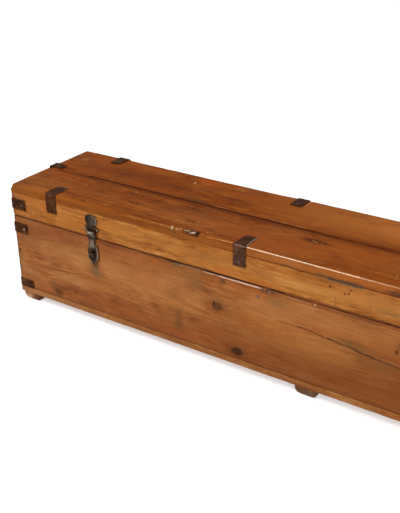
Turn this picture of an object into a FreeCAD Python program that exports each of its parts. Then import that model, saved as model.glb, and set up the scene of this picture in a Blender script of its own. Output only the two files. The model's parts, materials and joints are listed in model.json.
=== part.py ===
import FreeCAD, Part
import math
import os

# A long wooden storage chest with a hinged lid and forged iron fittings.
# Millimetres. X runs along the length, Y from front to back, Z up.
# The origin is the centre of the footprint, on the floor.

Vector = FreeCAD.Vector

# Overall size of the wooden box
length = 1612.0
depth = 351.0
body_height = 260.0
lid_height = 99.6
seam_gap = 0.4

# Boards
board_thickness = 22.0
bottom_thickness = 18.0
bottom_proud = 2.0
plank_thickness = 26.0
plank_joint_gap = 1.6
plank_joint_setback = 171.0
board_round = 3.0
top_round = 6.0
corner_round = 8.0

# Cross bearers under the bottom board
bearer_width = 60.0
bearer_height = 25.0
bearer_inset = 7.0
bearer_front_setback = 2.0
bearer_round = 4.0
middle_bearer_offset = 168.0

# Inner battens under the lid
batten_width = 45.0
batten_thickness = 16.0
batten_end_gap = 0.5

# Iron straps
strap_thickness = 3.0
strap_end_round = 2.5
front_strap_width = 38.0
front_strap_drop = 60.0
front_strap_reach = 58.0
strap_end_distance = 162.0
side_strap_width = 31.0
side_strap_drop = 55.0
side_strap_reach = 50.0
side_strap_setback = 189.0
corner_leg = 55.0
lid_corner_width = 34.0
lid_corner_rise = 21.0
upper_corner_width = 32.0
upper_corner_drop = 24.0
lower_corner_width = 29.0
lower_corner_rise = 0.6

# Back hinges
hinge_pin_radius = 2.5
knuckle_radius = 5.5
knuckle_back_gap = 0.3
pin_clearance = 0.05
knuckle_side_gap = 0.4
knuckle_notch_gap = 0.6
hinge_body_reach = 90.0
hinge_nail_shares = (0.0, 0.6)
pin_head_radius = 3.6
pin_head_height = 1.5

# Nails
strap_nail_radius = 1.8
strap_nail_head_radius = 4.0
strap_nail_head_height = 1.6
strap_nail_length = 19.0
strap_nail_end_distance = 13.0
nail_hole_clearance = 0.1
board_nail_radius = 1.8
board_nail_head_radius = 3.5
board_nail_head_height = 1.2
board_nail_length = 52.0
board_nail_height = 152.0
top_nail_margin = 120.0
top_nail_count = 6
bearer_nail_inset = 40.0
bearer_nail_sink = 2.0
batten_nail_length = 34.0
batten_nail_inset = 45.0

# Hasps, measured from the end of the chest and from the hasp's hinge axis
hasp_end_distance = 313.0
hasp_axis_rise = 17.0
hasp_pin_radius = 2.4
hasp_knuckle_radius = 6.0
hasp_back_gap = 0.5
hasp_leaf_thickness = 3.5
hasp_leaf_length = 104.0
hasp_leaf_width = 41.0
hasp_barrel_width = 30.0
hasp_middle_knuckle_width = 17.0
hasp_plate_thickness = 3.0
hasp_plate_rise = 54.0
hasp_plate_width = 44.0
hasp_ear_width = 54.0
hasp_ear_rise = 10.5
hasp_ear_radius = 5.0
hasp_dome_height = 3.2
hasp_dome_radius = 15.0
hasp_dome_rise = 37.0
hasp_slot_width = 9.0
hasp_slot_height = 30.0
hasp_slot_drop = 71.0

# Eye staples
staple_bore_radius = 6.0
staple_wall = 4.0
staple_width = 6.0
staple_shank_height = 8.0
staple_clear_of_leaf = 1.2
staple_clinch_length = 18.0
staple_clinch_thickness = 3.0

# Hasp outlines: half width against distance from the hinge axis,
# as shares of the leaf's or plate's own width and length
leaf_half_width_shares = [
    (0.085, 0.70),
    (0.16, 0.66),
    (0.27, 0.58),
    (0.37, 0.67),
    (0.50, 0.92),
    (0.63, 1.00),
    (0.76, 0.88),
    (0.87, 0.54),
    (0.95, 0.22),
]
plate_half_width_shares = [
    (0.30, 0.58),
    (0.40, 0.70),
    (0.54, 0.93),
    (0.70, 1.00),
    (0.84, 0.88),
    (0.94, 0.60),
]

# How far a straight edge may lie from the place it is looked for
edge_match = 0.05

# Worked out from the values above
overrun = 2 * strap_thickness
half_length = length / 2
front_face = -depth / 2
back_face = depth / 2
bottom_under = bearer_height
bottom_over = bottom_under + bottom_thickness
seam = bottom_under + body_height
lid_under = seam + seam_gap
lid_top = lid_under + lid_height
plank_under = lid_top - plank_thickness
inner_front = front_face + board_thickness
inner_back = back_face - board_thickness
inner_half = half_length - board_thickness
end_bearer_place = half_length - bearer_inset - bearer_width / 2
bearer_places = {
    "left": -end_bearer_place,
    "middle": middle_bearer_offset + bearer_width / 2,
    "right": end_bearer_place,
}
strap_pitch = half_length - strap_end_distance
strap_places = {"left": -strap_pitch, "middle": 0.0, "right": strap_pitch}
batten_offset = strap_pitch / 2
hasp_offset = half_length - hasp_end_distance
side_signs = {"left": -1, "right": 1}
end_signs = {"front": -1, "back": 1}

hinge_y = back_face + knuckle_back_gap + knuckle_radius
hasp_axis_z = seam + hasp_axis_rise
hasp_axis_y = front_face - hasp_back_gap - hasp_knuckle_radius
leaf_inner_y = front_face - hasp_back_gap
leaf_outer_y = leaf_inner_y - hasp_leaf_thickness
staple_z = hasp_axis_z - hasp_slot_drop
staple_outer_radius = staple_bore_radius + staple_wall
staple_y = leaf_outer_y - staple_clear_of_leaf - staple_bore_radius

X_AXIS = Vector(1, 0, 0)
Y_AXIS = Vector(0, 1, 0)
Z_AXIS = Vector(0, 0, 1)


def box(x0, x1, y0, y1, z0, z1):
    return Part.makeBox(x1 - x0, y1 - y0, z1 - z0, Vector(x0, y0, z0))


def rod(radius, start, direction, rod_length):
    return Part.makeCylinder(radius, rod_length, start, direction)


def is_along(edge, axis):
    run = edge.Vertexes[-1].Point.sub(edge.Vertexes[0].Point)
    return run.Length > 0 and abs(run.normalize().dot(axis)) > math.cos(math.radians(1))


def edges_at(shape, axis, x=None, y=None, z=None):
    """Straight edges along an axis that lie at the given places."""
    found = []
    for edge in shape.Edges:
        if len(edge.Vertexes) != 2 or not is_along(edge, axis):
            continue
        centre = edge.CenterOfMass
        wanted = ((x, centre.x), (y, centre.y), (z, centre.z))
        if all(place is None or abs(place - value) < edge_match for place, value in wanted):
            found.append(edge)
    return found


def export(name, shape):
    shape.exportStep(os.path.join("parts", name + ".step"))


def dome(base_radius, height):
    """A shallow round cap that stands on Z = 0."""
    ball_radius = (base_radius**2 + height**2) / (2 * height)
    below = ball_radius - height
    low_latitude = math.degrees(math.asin(below / ball_radius))
    return Part.makeSphere(ball_radius, Vector(0, 0, -below), Z_AXIS, low_latitude, 90, 360)


def group(solids):
    return Part.makeCompound(solids)


def fuse(shapes):
    whole = shapes[0].multiFuse(shapes[1:])
    return whole.removeSplitter()


def prism_xz(points_wire, y0, y1):
    """A flat outline in the plane Y = 0, moved to y0 and thickened as far as y1."""
    face = Part.Face(points_wire)
    face.translate(Vector(0, y0, 0))
    return face.extrude(Vector(0, y1 - y0, 0))


# Chest body


def long_board(y0, y1, z0, z1, outer_y):
    """A long wall board whose two outer upright edges are worn round."""
    board = box(-half_length, half_length, y0, y1, z0, z1)
    worn = edges_at(board, Z_AXIS, y=outer_y)
    return board.makeFillet(board_round, worn)


def make_bottom_board():
    board = box(-half_length, half_length, front_face - bottom_proud, back_face, bottom_under, bottom_over)
    worn = edges_at(board, X_AXIS, y=front_face - bottom_proud)
    worn += edges_at(board, Z_AXIS)
    return board.makeFillet(bottom_proud, worn)


def make_bearer(centre_x):
    bearer = box(
        centre_x - bearer_width / 2,
        centre_x + bearer_width / 2,
        front_face + bearer_front_setback,
        back_face - bearer_front_setback,
        0,
        bearer_height,
    )
    worn = edges_at(bearer, Y_AXIS, z=0)
    worn += edges_at(bearer, X_AXIS, z=0)
    return bearer.makeFillet(bearer_round, worn)


def build_chest_boards():
    export("bottom_board", make_bottom_board())
    export("front_board", long_board(front_face, inner_front, bottom_over, seam, front_face))
    export("back_board", long_board(inner_back, back_face, bottom_over, seam, back_face))
    for side, sign in side_signs.items():
        x0, x1 = sorted((sign * inner_half, sign * half_length))
        export(side + "_end_board", box(x0, x1, inner_front, inner_back, bottom_over, seam))
    for place, centre_x in bearer_places.items():
        export(place + "_bearer", make_bearer(centre_x))


# Straps


def bent_strap(width, reach, drop, corner_radius):
    """A strap bent over an edge along X: it lies on top for reach and drops down by drop.

    The edge is at Y = 0, Z = 0, with the wood at Y > 0 and Z < 0.
    """
    outer = box(-width / 2, width / 2, -strap_thickness, reach, -drop, strap_thickness)
    bend = edges_at(outer, X_AXIS, y=-strap_thickness, z=strap_thickness)
    outer = outer.makeFillet(corner_radius + strap_thickness, bend)
    wood = box(-width, width, 0, reach + overrun, -drop - overrun, 0)
    wood = wood.makeFillet(corner_radius, edges_at(wood, X_AXIS, y=0, z=0))
    strap = outer.cut(wood)
    ends = edges_at(strap, Z_AXIS, y=reach)
    ends += edges_at(strap, Y_AXIS, z=-drop)
    return strap.makeFillet(strap_end_round, ends)


def strap_nail():
    """A nail driven along -Z whose domed head lies on Z = 0."""
    run = strap_nail_length + strap_nail_head_height / 2
    shank = rod(strap_nail_radius, Vector(0, 0, -strap_nail_length), Z_AXIS, run)
    return fuse([shank, dome(strap_nail_head_radius, strap_nail_head_height)])


def facing(shape, outward):
    """Turn a shape from facing +Z to facing outward."""
    turned = shape.copy()
    turned.Placement = FreeCAD.Placement(Vector(0, 0, 0), FreeCAD.Rotation(Z_AXIS, outward))
    return turned


def moved(shape, place):
    shifted = shape.copy()
    shifted.translate(place)
    return shifted


def drive(nails, strap, place, outward):
    """Drill the strap at a place on the wood's face and drive a nail through it."""
    seat = place + outward * strap_thickness
    nails.append(moved(facing(strap_nail(), outward), seat))
    hole_start = place - outward * overrun
    hole = rod(strap_nail_radius + nail_hole_clearance, hole_start, outward, 3 * overrun)
    return strap.cut(hole)


def place_front_strap(centre_x, nails):
    strap = bent_strap(front_strap_width, front_strap_reach, front_strap_drop, top_round)
    strap = moved(strap, Vector(centre_x, front_face, lid_top))
    low = Vector(centre_x, front_face, lid_top - front_strap_drop + strap_nail_end_distance)
    strap = drive(nails, strap, low, Vector(0, -1, 0))
    inner = Vector(centre_x, front_face + front_strap_reach - strap_nail_end_distance, lid_top)
    return drive(nails, strap, inner, Z_AXIS)


def place_side_strap(sign, nails):
    strap = bent_strap(side_strap_width, side_strap_reach, side_strap_drop, top_round)
    strap.rotate(Vector(0, 0, 0), Z_AXIS, 90 * sign)
    centre_y = front_face + side_strap_setback
    strap = moved(strap, Vector(sign * half_length, centre_y, lid_top))
    low_z = lid_top - side_strap_drop + strap_nail_end_distance
    strap = drive(nails, strap, Vector(sign * half_length, centre_y, low_z), Vector(sign, 0, 0))
    inner_x = sign * (half_length - side_strap_reach + strap_nail_end_distance)
    return drive(nails, strap, Vector(inner_x, centre_y, lid_top), Z_AXIS)


def place_corner_strap(side_sign, end_sign, low_z, width, nails):
    """A strap bent round an upright corner, with a leg on the long face and one on the end."""
    corner_x = side_sign * half_length
    corner_y = end_sign * back_face
    strap = bent_strap(width, corner_leg, corner_leg, board_round)
    strap.rotate(Vector(0, 0, 0), Y_AXIS, -90)
    if side_sign > 0:
        strap = strap.mirror(Vector(0, 0, 0), X_AXIS)
    if end_sign > 0:
        strap = strap.mirror(Vector(0, 0, 0), Y_AXIS)
    centre_z = low_z + width / 2
    strap = moved(strap, Vector(corner_x, corner_y, centre_z))
    along = corner_leg - strap_nail_end_distance
    on_face = Vector(corner_x - side_sign * along, corner_y, centre_z)
    strap = drive(nails, strap, on_face, Vector(0, end_sign, 0))
    on_end = Vector(corner_x, corner_y - end_sign * along, centre_z)
    return drive(nails, strap, on_end, Vector(side_sign, 0, 0))


def build_corner_straps(body_nails, lid_nails):
    rows = {
        "upper_strap": (seam - upper_corner_drop - upper_corner_width, upper_corner_width, body_nails),
        "lower_strap": (bottom_over + lower_corner_rise, lower_corner_width, body_nails),
        "lid_corner_strap": (lid_under + lid_corner_rise, lid_corner_width, lid_nails),
    }
    for row, (low_z, width, nails) in rows.items():
        for end, end_sign in end_signs.items():
            for side, side_sign in side_signs.items():
                strap = place_corner_strap(side_sign, end_sign, low_z, width, nails)
                export("_".join((row, end, side)), strap)


def build_edge_straps(lid_nails):
    for place, centre_x in strap_places.items():
        export("front_strap_" + place, place_front_strap(centre_x, lid_nails))
    for side, sign in side_signs.items():
        export("side_strap_" + side, place_side_strap(sign, lid_nails))


# Hinges


def knuckle_spans(centre_x):
    """Two outer knuckles and one middle knuckle, side by side along X."""
    third = (front_strap_width - 2 * knuckle_side_gap) / 3
    left = centre_x - front_strap_width / 2
    outer_left = (left, left + third)
    middle = (left + third + knuckle_side_gap, left + 2 * third + knuckle_side_gap)
    outer_right = (left + 2 * third + 2 * knuckle_side_gap, left + front_strap_width)
    return outer_left, middle, outer_right


def clear_knuckles(leaf, spans, knuckle_r, axis_y, axis_z):
    """Cut room in a leaf for the other leaf's knuckles."""
    for x0, x1 in spans:
        start = Vector(x0 - knuckle_side_gap, axis_y, axis_z)
        run = x1 - x0 + 2 * knuckle_side_gap
        leaf = leaf.cut(rod(knuckle_r + knuckle_notch_gap, start, X_AXIS, run))
    return leaf


def knuckles(spans, knuckle_r, axis_y, axis_z):
    return [rod(knuckle_r, Vector(x0, axis_y, axis_z), X_AXIS, x1 - x0) for x0, x1 in spans]


def bored(shape, radius, centre_x, width, axis_y, axis_z):
    start = Vector(centre_x - width, axis_y, axis_z)
    return shape.cut(rod(radius, start, X_AXIS, 2 * width))


def make_hinge_body_leaf(centre_x, nails):
    outer_left, middle, outer_right = knuckle_spans(centre_x)
    low_z = seam - hinge_body_reach
    half_width = front_strap_width / 2
    plate = box(
        centre_x - half_width, centre_x + half_width, back_face, back_face + strap_thickness, low_z, seam
    )
    plate = plate.makeFillet(strap_end_round, edges_at(plate, Y_AXIS, z=low_z))
    plate = clear_knuckles(plate, [outer_left, outer_right], knuckle_radius, hinge_y, seam)
    leaf = fuse([plate] + knuckles([middle], knuckle_radius, hinge_y, seam))
    leaf = bored(leaf, hinge_pin_radius + pin_clearance, centre_x, front_strap_width, hinge_y, seam)
    for share in hinge_nail_shares:
        nail_z = low_z + strap_nail_end_distance + share * hinge_body_reach
        leaf = drive(nails, leaf, Vector(centre_x, back_face, nail_z), Y_AXIS)
    return leaf


def make_hinge_lid_leaf(centre_x, nails):
    outer_left, middle, outer_right = knuckle_spans(centre_x)
    drop = lid_top - seam
    strap = bent_strap(front_strap_width, front_strap_reach, drop, top_round)
    strap = strap.mirror(Vector(0, 0, 0), Y_AXIS)
    strap = moved(strap, Vector(centre_x, back_face, lid_top))
    strap = clear_knuckles(strap, [middle], knuckle_radius, hinge_y, seam)
    leaf = fuse([strap] + knuckles([outer_left, outer_right], knuckle_radius, hinge_y, seam))
    leaf = bored(leaf, hinge_pin_radius + pin_clearance, centre_x, front_strap_width, hinge_y, seam)
    middle_z = (lid_top + seam) / 2
    leaf = drive(nails, leaf, Vector(centre_x, back_face, middle_z), Y_AXIS)
    on_top = Vector(centre_x, back_face - front_strap_reach + strap_nail_end_distance, lid_top)
    return drive(nails, leaf, on_top, Z_AXIS)


def make_pin(centre_x, radius, width, axis_y, axis_z):
    """A pin along X with a peened head at each end."""
    half_run = width / 2 + knuckle_side_gap
    pin = rod(radius, Vector(centre_x - half_run, axis_y, axis_z), X_AXIS, 2 * half_run)
    heads = []
    for sign in side_signs.values():
        start = Vector(centre_x + sign * half_run, axis_y, axis_z)
        head = rod(pin_head_radius, start, Vector(sign, 0, 0), pin_head_height)
        rim = [edge for edge in head.Edges if abs(edge.CenterOfMass.x - start.x) > pin_head_height / 2]
        rim = [edge for edge in rim if edge.Closed]
        heads.append(head.makeChamfer(pin_head_height / 3, rim))
    return fuse([pin] + heads)


def build_hinges(body_nails, lid_nails):
    for place, centre_x in strap_places.items():
        export("hinge_body_leaf_" + place, make_hinge_body_leaf(centre_x, body_nails))
        export("hinge_lid_leaf_" + place, make_hinge_lid_leaf(centre_x, lid_nails))
        pin = make_pin(centre_x, hinge_pin_radius, front_strap_width, hinge_y, seam)
        export("hinge_pin_" + place, pin)


# Lid


def worn_plank(y0, y1, outer_y):
    """A top plank whose outer long edge, end edges and outer corners are worn round."""
    plank = box(-half_length, half_length, y0, y1, plank_under, lid_top)
    corners = edges_at(plank, Z_AXIS, y=outer_y)
    plank = plank.makeFillet(corner_round, corners)
    rim = [
        edge
        for edge in plank.Edges
        if abs(edge.CenterOfMass.z - lid_top) < edge_match
        and (
            abs(edge.CenterOfMass.y - outer_y) < corner_round
            or half_length - abs(edge.CenterOfMass.x) < corner_round
        )
    ]
    return plank.makeFillet(top_round, rim)


def build_lid_boards():
    joint_y = front_face + plank_joint_setback
    export("top_front_plank", worn_plank(front_face, joint_y - plank_joint_gap / 2, front_face))
    export("top_back_plank", worn_plank(joint_y + plank_joint_gap / 2, back_face, back_face))
    export("lid_front_rail", long_board(front_face, inner_front, lid_under, plank_under, front_face))
    export("lid_back_rail", long_board(inner_back, back_face, lid_under, plank_under, back_face))
    for side, sign in side_signs.items():
        x0, x1 = sorted((sign * inner_half, sign * half_length))
        export("lid_" + side + "_end", box(x0, x1, inner_front, inner_back, lid_under, plank_under))
        centre_x = sign * batten_offset
        batten = box(
            centre_x - batten_width / 2,
            centre_x + batten_width / 2,
            inner_front + batten_end_gap,
            inner_back - batten_end_gap,
            plank_under - batten_thickness,
            plank_under,
        )
        worn = edges_at(batten, Y_AXIS, z=plank_under - batten_thickness)
        export("lid_batten_" + side, batten.makeFillet(board_round, worn))


# Hasps


def smooth_outline(centre_x, shares, full_width, run, direction):
    """A closed outline, mirrored about its centre line, that starts flat and ends in a tip.

    It runs up (direction +1) or down (-1) from the hasp's hinge axis. shares holds
    (distance along the run, half width) pairs.
    """
    half = full_width / 2

    def at(sign, along, across):
        return Vector(centre_x + sign * across * half, 0, hasp_axis_z + direction * along * run)

    right = [at(1, along, across) for along, across in shares]
    left = [at(-1, along, across) for along, across in reversed(shares)]
    curve = Part.BSplineCurve()
    curve.interpolate(right + [at(1, 1, 0)] + left)
    first = curve.toShape()
    last = Part.makeLine(left[-1], right[0])
    return Part.Wire([first, last])


def make_hasp_leaf(centre_x):
    outline = smooth_outline(centre_x, leaf_half_width_shares, hasp_leaf_width, hasp_leaf_length, -1)
    blade = prism_xz(outline, leaf_inner_y, leaf_outer_y)
    half_knuckle = hasp_middle_knuckle_width / 2
    neck_low = hasp_axis_z - leaf_half_width_shares[0][0] * hasp_leaf_length
    neck = box(
        centre_x - half_knuckle,
        centre_x + half_knuckle,
        leaf_outer_y,
        leaf_inner_y,
        neck_low - hasp_leaf_thickness,
        hasp_axis_z,
    )
    span = (centre_x - half_knuckle, centre_x + half_knuckle)
    leaf = fuse([blade, neck] + knuckles([span], hasp_knuckle_radius, hasp_axis_y, hasp_axis_z))
    slot = stadium_y(centre_x, staple_z, hasp_slot_width, hasp_slot_height, leaf_outer_y, leaf_inner_y)
    leaf = leaf.cut(slot)
    bore_radius = hasp_pin_radius + pin_clearance
    return bored(leaf, bore_radius, centre_x, hasp_barrel_width, hasp_axis_y, hasp_axis_z)


def stadium_y(centre_x, centre_z, width, height, y0, y1):
    """A round-ended slot through a plate, along Y, past both faces."""
    straight = height - width
    low = Vector(centre_x, y0 - overrun, centre_z - straight / 2)
    high = Vector(centre_x, y0 - overrun, centre_z + straight / 2)
    run = y1 - y0 + 2 * overrun
    middle = box(centre_x - width / 2, centre_x + width / 2, low.y, low.y + run, low.z, high.z)
    return fuse([middle, rod(width / 2, low, Y_AXIS, run), rod(width / 2, high, Y_AXIS, run)])


def make_hasp_plate(centre_x, nails):
    outline = smooth_outline(centre_x, plate_half_width_shares, hasp_plate_width, hasp_plate_rise, 1)
    outer_y = front_face - hasp_plate_thickness
    shield = prism_xz(outline, front_face, outer_y)
    half_barrel = hasp_barrel_width / 2
    half_knuckle = hasp_middle_knuckle_width / 2
    neck_top = hasp_axis_z + plate_half_width_shares[1][0] * hasp_plate_rise
    neck = box(centre_x - half_barrel, centre_x + half_barrel, outer_y, front_face, hasp_axis_z, neck_top)
    ear_z = hasp_axis_z + hasp_ear_rise
    half_ears = hasp_ear_width / 2 - hasp_ear_radius
    ears = box(
        centre_x - half_ears,
        centre_x + half_ears,
        outer_y,
        front_face,
        ear_z - hasp_ear_radius,
        ear_z + hasp_ear_radius,
    )
    ear_ends = []
    for sign in side_signs.values():
        ear_start = Vector(centre_x + sign * half_ears, outer_y, ear_z)
        ear_ends.append(rod(hasp_ear_radius, ear_start, Y_AXIS, hasp_plate_thickness))
    boss = facing(dome(hasp_dome_radius, hasp_dome_height), Vector(0, -1, 0))
    boss = moved(boss, Vector(centre_x, outer_y, hasp_axis_z + hasp_dome_rise))
    side_gap = half_knuckle + knuckle_side_gap
    spans = [
        (centre_x - half_barrel, centre_x - side_gap),
        (centre_x + side_gap, centre_x + half_barrel),
    ]
    middle = (centre_x - half_knuckle, centre_x + half_knuckle)
    flat = fuse([shield, neck, ears] + ear_ends)
    flat = clear_knuckles(flat, [middle], hasp_knuckle_radius, hasp_axis_y, hasp_axis_z)
    plate = fuse([flat, boss] + knuckles(spans, hasp_knuckle_radius, hasp_axis_y, hasp_axis_z))
    bore_radius = hasp_pin_radius + pin_clearance
    plate = bored(plate, bore_radius, centre_x, hasp_barrel_width, hasp_axis_y, hasp_axis_z)
    for sign in side_signs.values():
        plate = drive(nails, plate, Vector(centre_x + sign * half_ears, front_face, ear_z), Vector(0, -1, 0))
    return plate


def make_staple(centre_x):
    """A flat-bar eye whose shank goes through the front board and is clinched inside."""
    half = staple_width / 2
    start = Vector(centre_x - half, staple_y, staple_z)
    eye = rod(staple_outer_radius, start, X_AXIS, staple_width)
    inner_y = inner_front + staple_clinch_thickness
    shank_half = staple_shank_height / 2
    shank = box(
        centre_x - half, centre_x + half, staple_y, inner_y, staple_z - shank_half, staple_z + shank_half
    )
    clinch_half = shank_half + staple_clinch_length
    clinch = box(
        centre_x - half, centre_x + half, inner_front, inner_y, staple_z - clinch_half, staple_z + clinch_half
    )
    staple = fuse([eye, shank, clinch])
    return bored(staple, staple_bore_radius, centre_x, staple_width, staple_y, staple_z)


def build_hasps(lid_nails):
    for side, sign in side_signs.items():
        centre_x = sign * hasp_offset
        export("hasp_plate_" + side, make_hasp_plate(centre_x, lid_nails))
        export("hasp_leaf_" + side, make_hasp_leaf(centre_x))
        pin = make_pin(centre_x, hasp_pin_radius, hasp_barrel_width, hasp_axis_y, hasp_axis_z)
        export("hasp_pin_" + side, pin)
        export("staple_" + side, make_staple(centre_x))


# Nails that join the boards


def board_nail(place, outward, nail_length):
    """A nail with a flat head that is driven flush with the wood."""
    shank = rod(board_nail_radius, Vector(0, 0, -nail_length), Z_AXIS, nail_length)
    head = rod(board_nail_head_radius, Vector(0, 0, -board_nail_head_height), Z_AXIS, board_nail_head_height)
    return moved(facing(fuse([shank, head]), outward), place)


def corner_nails(height):
    """Nails through the long boards into the end boards' end grain, one at each corner."""
    across = half_length - board_thickness / 2
    nails = []
    for side_sign in side_signs.values():
        for end_sign in end_signs.values():
            place = Vector(side_sign * across, end_sign * back_face, height)
            nails.append(board_nail(place, Vector(0, end_sign, 0), board_nail_length))
    return nails


def even_places(low, high, count):
    step = (high - low) / (count - 1)
    return [low + index * step for index in range(count)]


def row_nails(z, outward):
    """Nails along the front and back rims, through a plank or board into the wall beyond it."""
    margin = half_length - top_nail_margin
    across = back_face - board_thickness / 2
    nails = []
    for end_sign in end_signs.values():
        for x in even_places(-margin, margin, top_nail_count):
            nails.append(board_nail(Vector(x, end_sign * across, z), outward, board_nail_length))
    return nails


def batten_nails():
    """Nails through the planks into the inner battens."""
    nails = []
    for side_sign in side_signs.values():
        for end_sign in end_signs.values():
            for inset in (batten_nail_inset, depth / 2 - batten_nail_inset):
                place = Vector(side_sign * batten_offset, end_sign * (back_face - inset), lid_top)
                nails.append(board_nail(place, Z_AXIS, batten_nail_length))
    return nails


def bearer_nails():
    """Nails up through the bearers into the bottom board."""
    nails = []
    for x in bearer_places.values():
        for end_sign in end_signs.values():
            place = Vector(x, end_sign * (back_face - bearer_nail_inset), bearer_nail_sink)
            nails.append(board_nail(place, Vector(0, 0, -1), bearer_height + bottom_thickness / 2))
    return nails


def build_board_nails():
    export("body_board_nails", group(corner_nails(board_nail_height)))
    export("bottom_board_nails", group(row_nails(bottom_under, Vector(0, 0, -1))))
    export("bearer_nails", group(bearer_nails()))
    export("lid_board_nails", group(row_nails(lid_top, Z_AXIS) + batten_nails()))


def main():
    os.makedirs("parts", exist_ok=True)
    body_nails = []
    lid_nails = []
    build_chest_boards()
    build_lid_boards()
    build_corner_straps(body_nails, lid_nails)
    build_edge_straps(lid_nails)
    build_hinges(body_nails, lid_nails)
    build_hasps(lid_nails)
    export("body_strap_nails", group(body_nails))
    export("lid_strap_nails", group(lid_nails))
    build_board_nails()


main()
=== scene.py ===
import json
import math

import bmesh
import bpy
import numpy as np
from mathutils import Matrix, Vector


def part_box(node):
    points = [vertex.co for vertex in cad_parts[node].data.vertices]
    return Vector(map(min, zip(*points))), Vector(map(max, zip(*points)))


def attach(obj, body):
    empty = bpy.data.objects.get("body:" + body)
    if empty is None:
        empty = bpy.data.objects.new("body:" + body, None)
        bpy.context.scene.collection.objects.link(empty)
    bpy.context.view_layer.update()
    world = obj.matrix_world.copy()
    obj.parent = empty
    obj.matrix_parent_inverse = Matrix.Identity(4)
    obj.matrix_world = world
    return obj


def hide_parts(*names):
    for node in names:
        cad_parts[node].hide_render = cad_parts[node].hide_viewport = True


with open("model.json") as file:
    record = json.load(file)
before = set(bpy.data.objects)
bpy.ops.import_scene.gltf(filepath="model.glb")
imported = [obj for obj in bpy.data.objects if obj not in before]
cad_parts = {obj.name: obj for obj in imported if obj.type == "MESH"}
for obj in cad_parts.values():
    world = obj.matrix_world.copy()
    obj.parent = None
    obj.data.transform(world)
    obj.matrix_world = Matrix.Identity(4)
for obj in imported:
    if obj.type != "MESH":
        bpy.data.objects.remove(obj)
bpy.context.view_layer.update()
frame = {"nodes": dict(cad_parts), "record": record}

# A long old chest of oiled hardwood with forged iron straps and two cast hasps.
# Metres. X runs along the length, Y from front to back, Z up.

MM = 0.001
body_of_node = {
    node: body for body, members in frame["record"]["behaviour"]["bodies"].items() for node in members
}


# Noise that is the same on every run


def lattice_value(ix, iy, iz, seed):
    h = ix * 374761393 + iy * 668265263 + iz * 2147483647 + seed * 1274126177
    h = (h ^ (h >> 13)) * 1274126177
    h = h ^ (h >> 16)
    return (h & 0xFFFFFF).astype(float) / 0xFFFFFF


def noise(points, size, seed=0):
    """Smooth noise from 0 to 1; size is the length of a feature along each axis."""
    p = points / np.asarray(size, float)
    base = np.floor(p).astype(np.int64)
    f = p - base
    f = f * f * (3 - 2 * f)
    total = np.zeros(len(p))
    for dx in (0, 1):
        for dy in (0, 1):
            for dz in (0, 1):
                weight = np.ones(len(p))
                for axis, d in enumerate((dx, dy, dz)):
                    weight = weight * (f[:, axis] if d else 1 - f[:, axis])
                value = lattice_value(base[:, 0] + dx, base[:, 1] + dy, base[:, 2] + dz, seed)
                total += weight * value
    return total


def ease(value, low, high):
    """Goes smoothly from 0 to 1 as the value goes from low to high."""
    t = np.clip((value - low) / (high - low), 0, 1)
    return t * t * (3 - 2 * t)


def bell(value, middle, width):
    """1 at the middle, falling smoothly to 0 on both sides of it."""
    return np.exp(-(((value - middle) / width) ** 2))


# Meshes


def grid_lines(low, high, step, fine):
    """Lines across a block: the fine offsets from each end, and even steps between them."""
    span = high - low
    fine = [offset for offset in fine if offset < span * 0.45]
    first = fine[-1] if fine else 0.0
    count = max(1, round((span - 2 * first) / step))
    middle = list(np.linspace(low + first, high - first, count + 1))
    lines = [low + offset for offset in fine[:-1]] + middle
    lines += [high - offset for offset in reversed(fine[:-1])]
    return np.array(lines)


def block_lattice(lines):
    """The six sides of a block as one closed grid of points and four-sided faces."""
    shape = [len(axis) for axis in lines]
    index = np.indices(shape)
    shell = np.zeros(shape, bool)
    for axis in range(3):
        shell |= (index[axis] == 0) | (index[axis] == shape[axis] - 1)
    number = -np.ones(shape, np.int64)
    number[shell] = np.arange(shell.sum())
    points = np.stack([lines[axis][index[axis][shell]] for axis in range(3)], axis=1)
    faces = []
    for axis in range(3):
        for side in (0, shape[axis] - 1):
            face = np.take(number, side, axis=axis)
            a, b, c, d = face[:-1, :-1], face[1:, :-1], face[1:, 1:], face[:-1, 1:]
            quads = np.stack([a, b, c, d], axis=-1).reshape(-1, 4)
            outward = (side > 0) == (axis != 1)
            faces.append(quads if outward else quads[:, ::-1])
    return points, np.concatenate(faces)


def round_block(points, low, high, radius):
    """Round every edge of a block; gives the new points, outward normals and how near an edge each is."""
    radius = np.broadcast_to(radius, (len(points),))[:, None]
    core = np.clip(points, low + radius, high - radius)
    away = points - core
    size = np.linalg.norm(away, axis=1, keepdims=True)
    normal = away / np.maximum(size, 1e-12)
    edge = np.clip((1 - np.abs(normal).max(axis=1)) / 0.29, 0, 1)
    return core + normal * radius, normal, edge


def volume(points, faces):
    """Signed volume of a closed body, positive where its faces look outward."""
    total = 0.0
    for size in {len(face) for face in faces}:
        ring = points[np.array([face for face in faces if len(face) == size], int)]
        for k in range(1, size - 1):
            total += np.einsum("ij,ij->i", ring[:, 0], np.cross(ring[:, k], ring[:, k + 1])).sum()
    return total / 6


def add_object(name, data):
    made = bpy.data.objects.new(name, data)
    bpy.context.scene.collection.objects.link(made)
    return made


def add_mesh(name, points, faces):
    mesh = bpy.data.meshes.new(name)
    mesh.from_pydata([tuple(p) for p in points], [], [tuple(int(i) for i in f) for f in faces])
    return add_object(name, mesh)


def add_piece(name, points, faces, material, **attributes):
    """A smooth-shaded piece; each attribute has one value for each point, for the materials to read."""
    points = np.asarray(points, float)
    if volume(points, faces) < 0:
        faces = [face[::-1] for face in faces]
    piece = add_mesh(name, points, faces)
    mesh = piece.data
    for key, values in attributes.items():
        layer = mesh.attributes.new(key, "FLOAT", "POINT")
        layer.data.foreach_set("value", np.asarray(values, np.float32))
    mesh.polygons.foreach_set("use_smooth", [True] * len(mesh.polygons))
    mesh.materials.append(material)
    mesh.update()
    return piece


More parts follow.
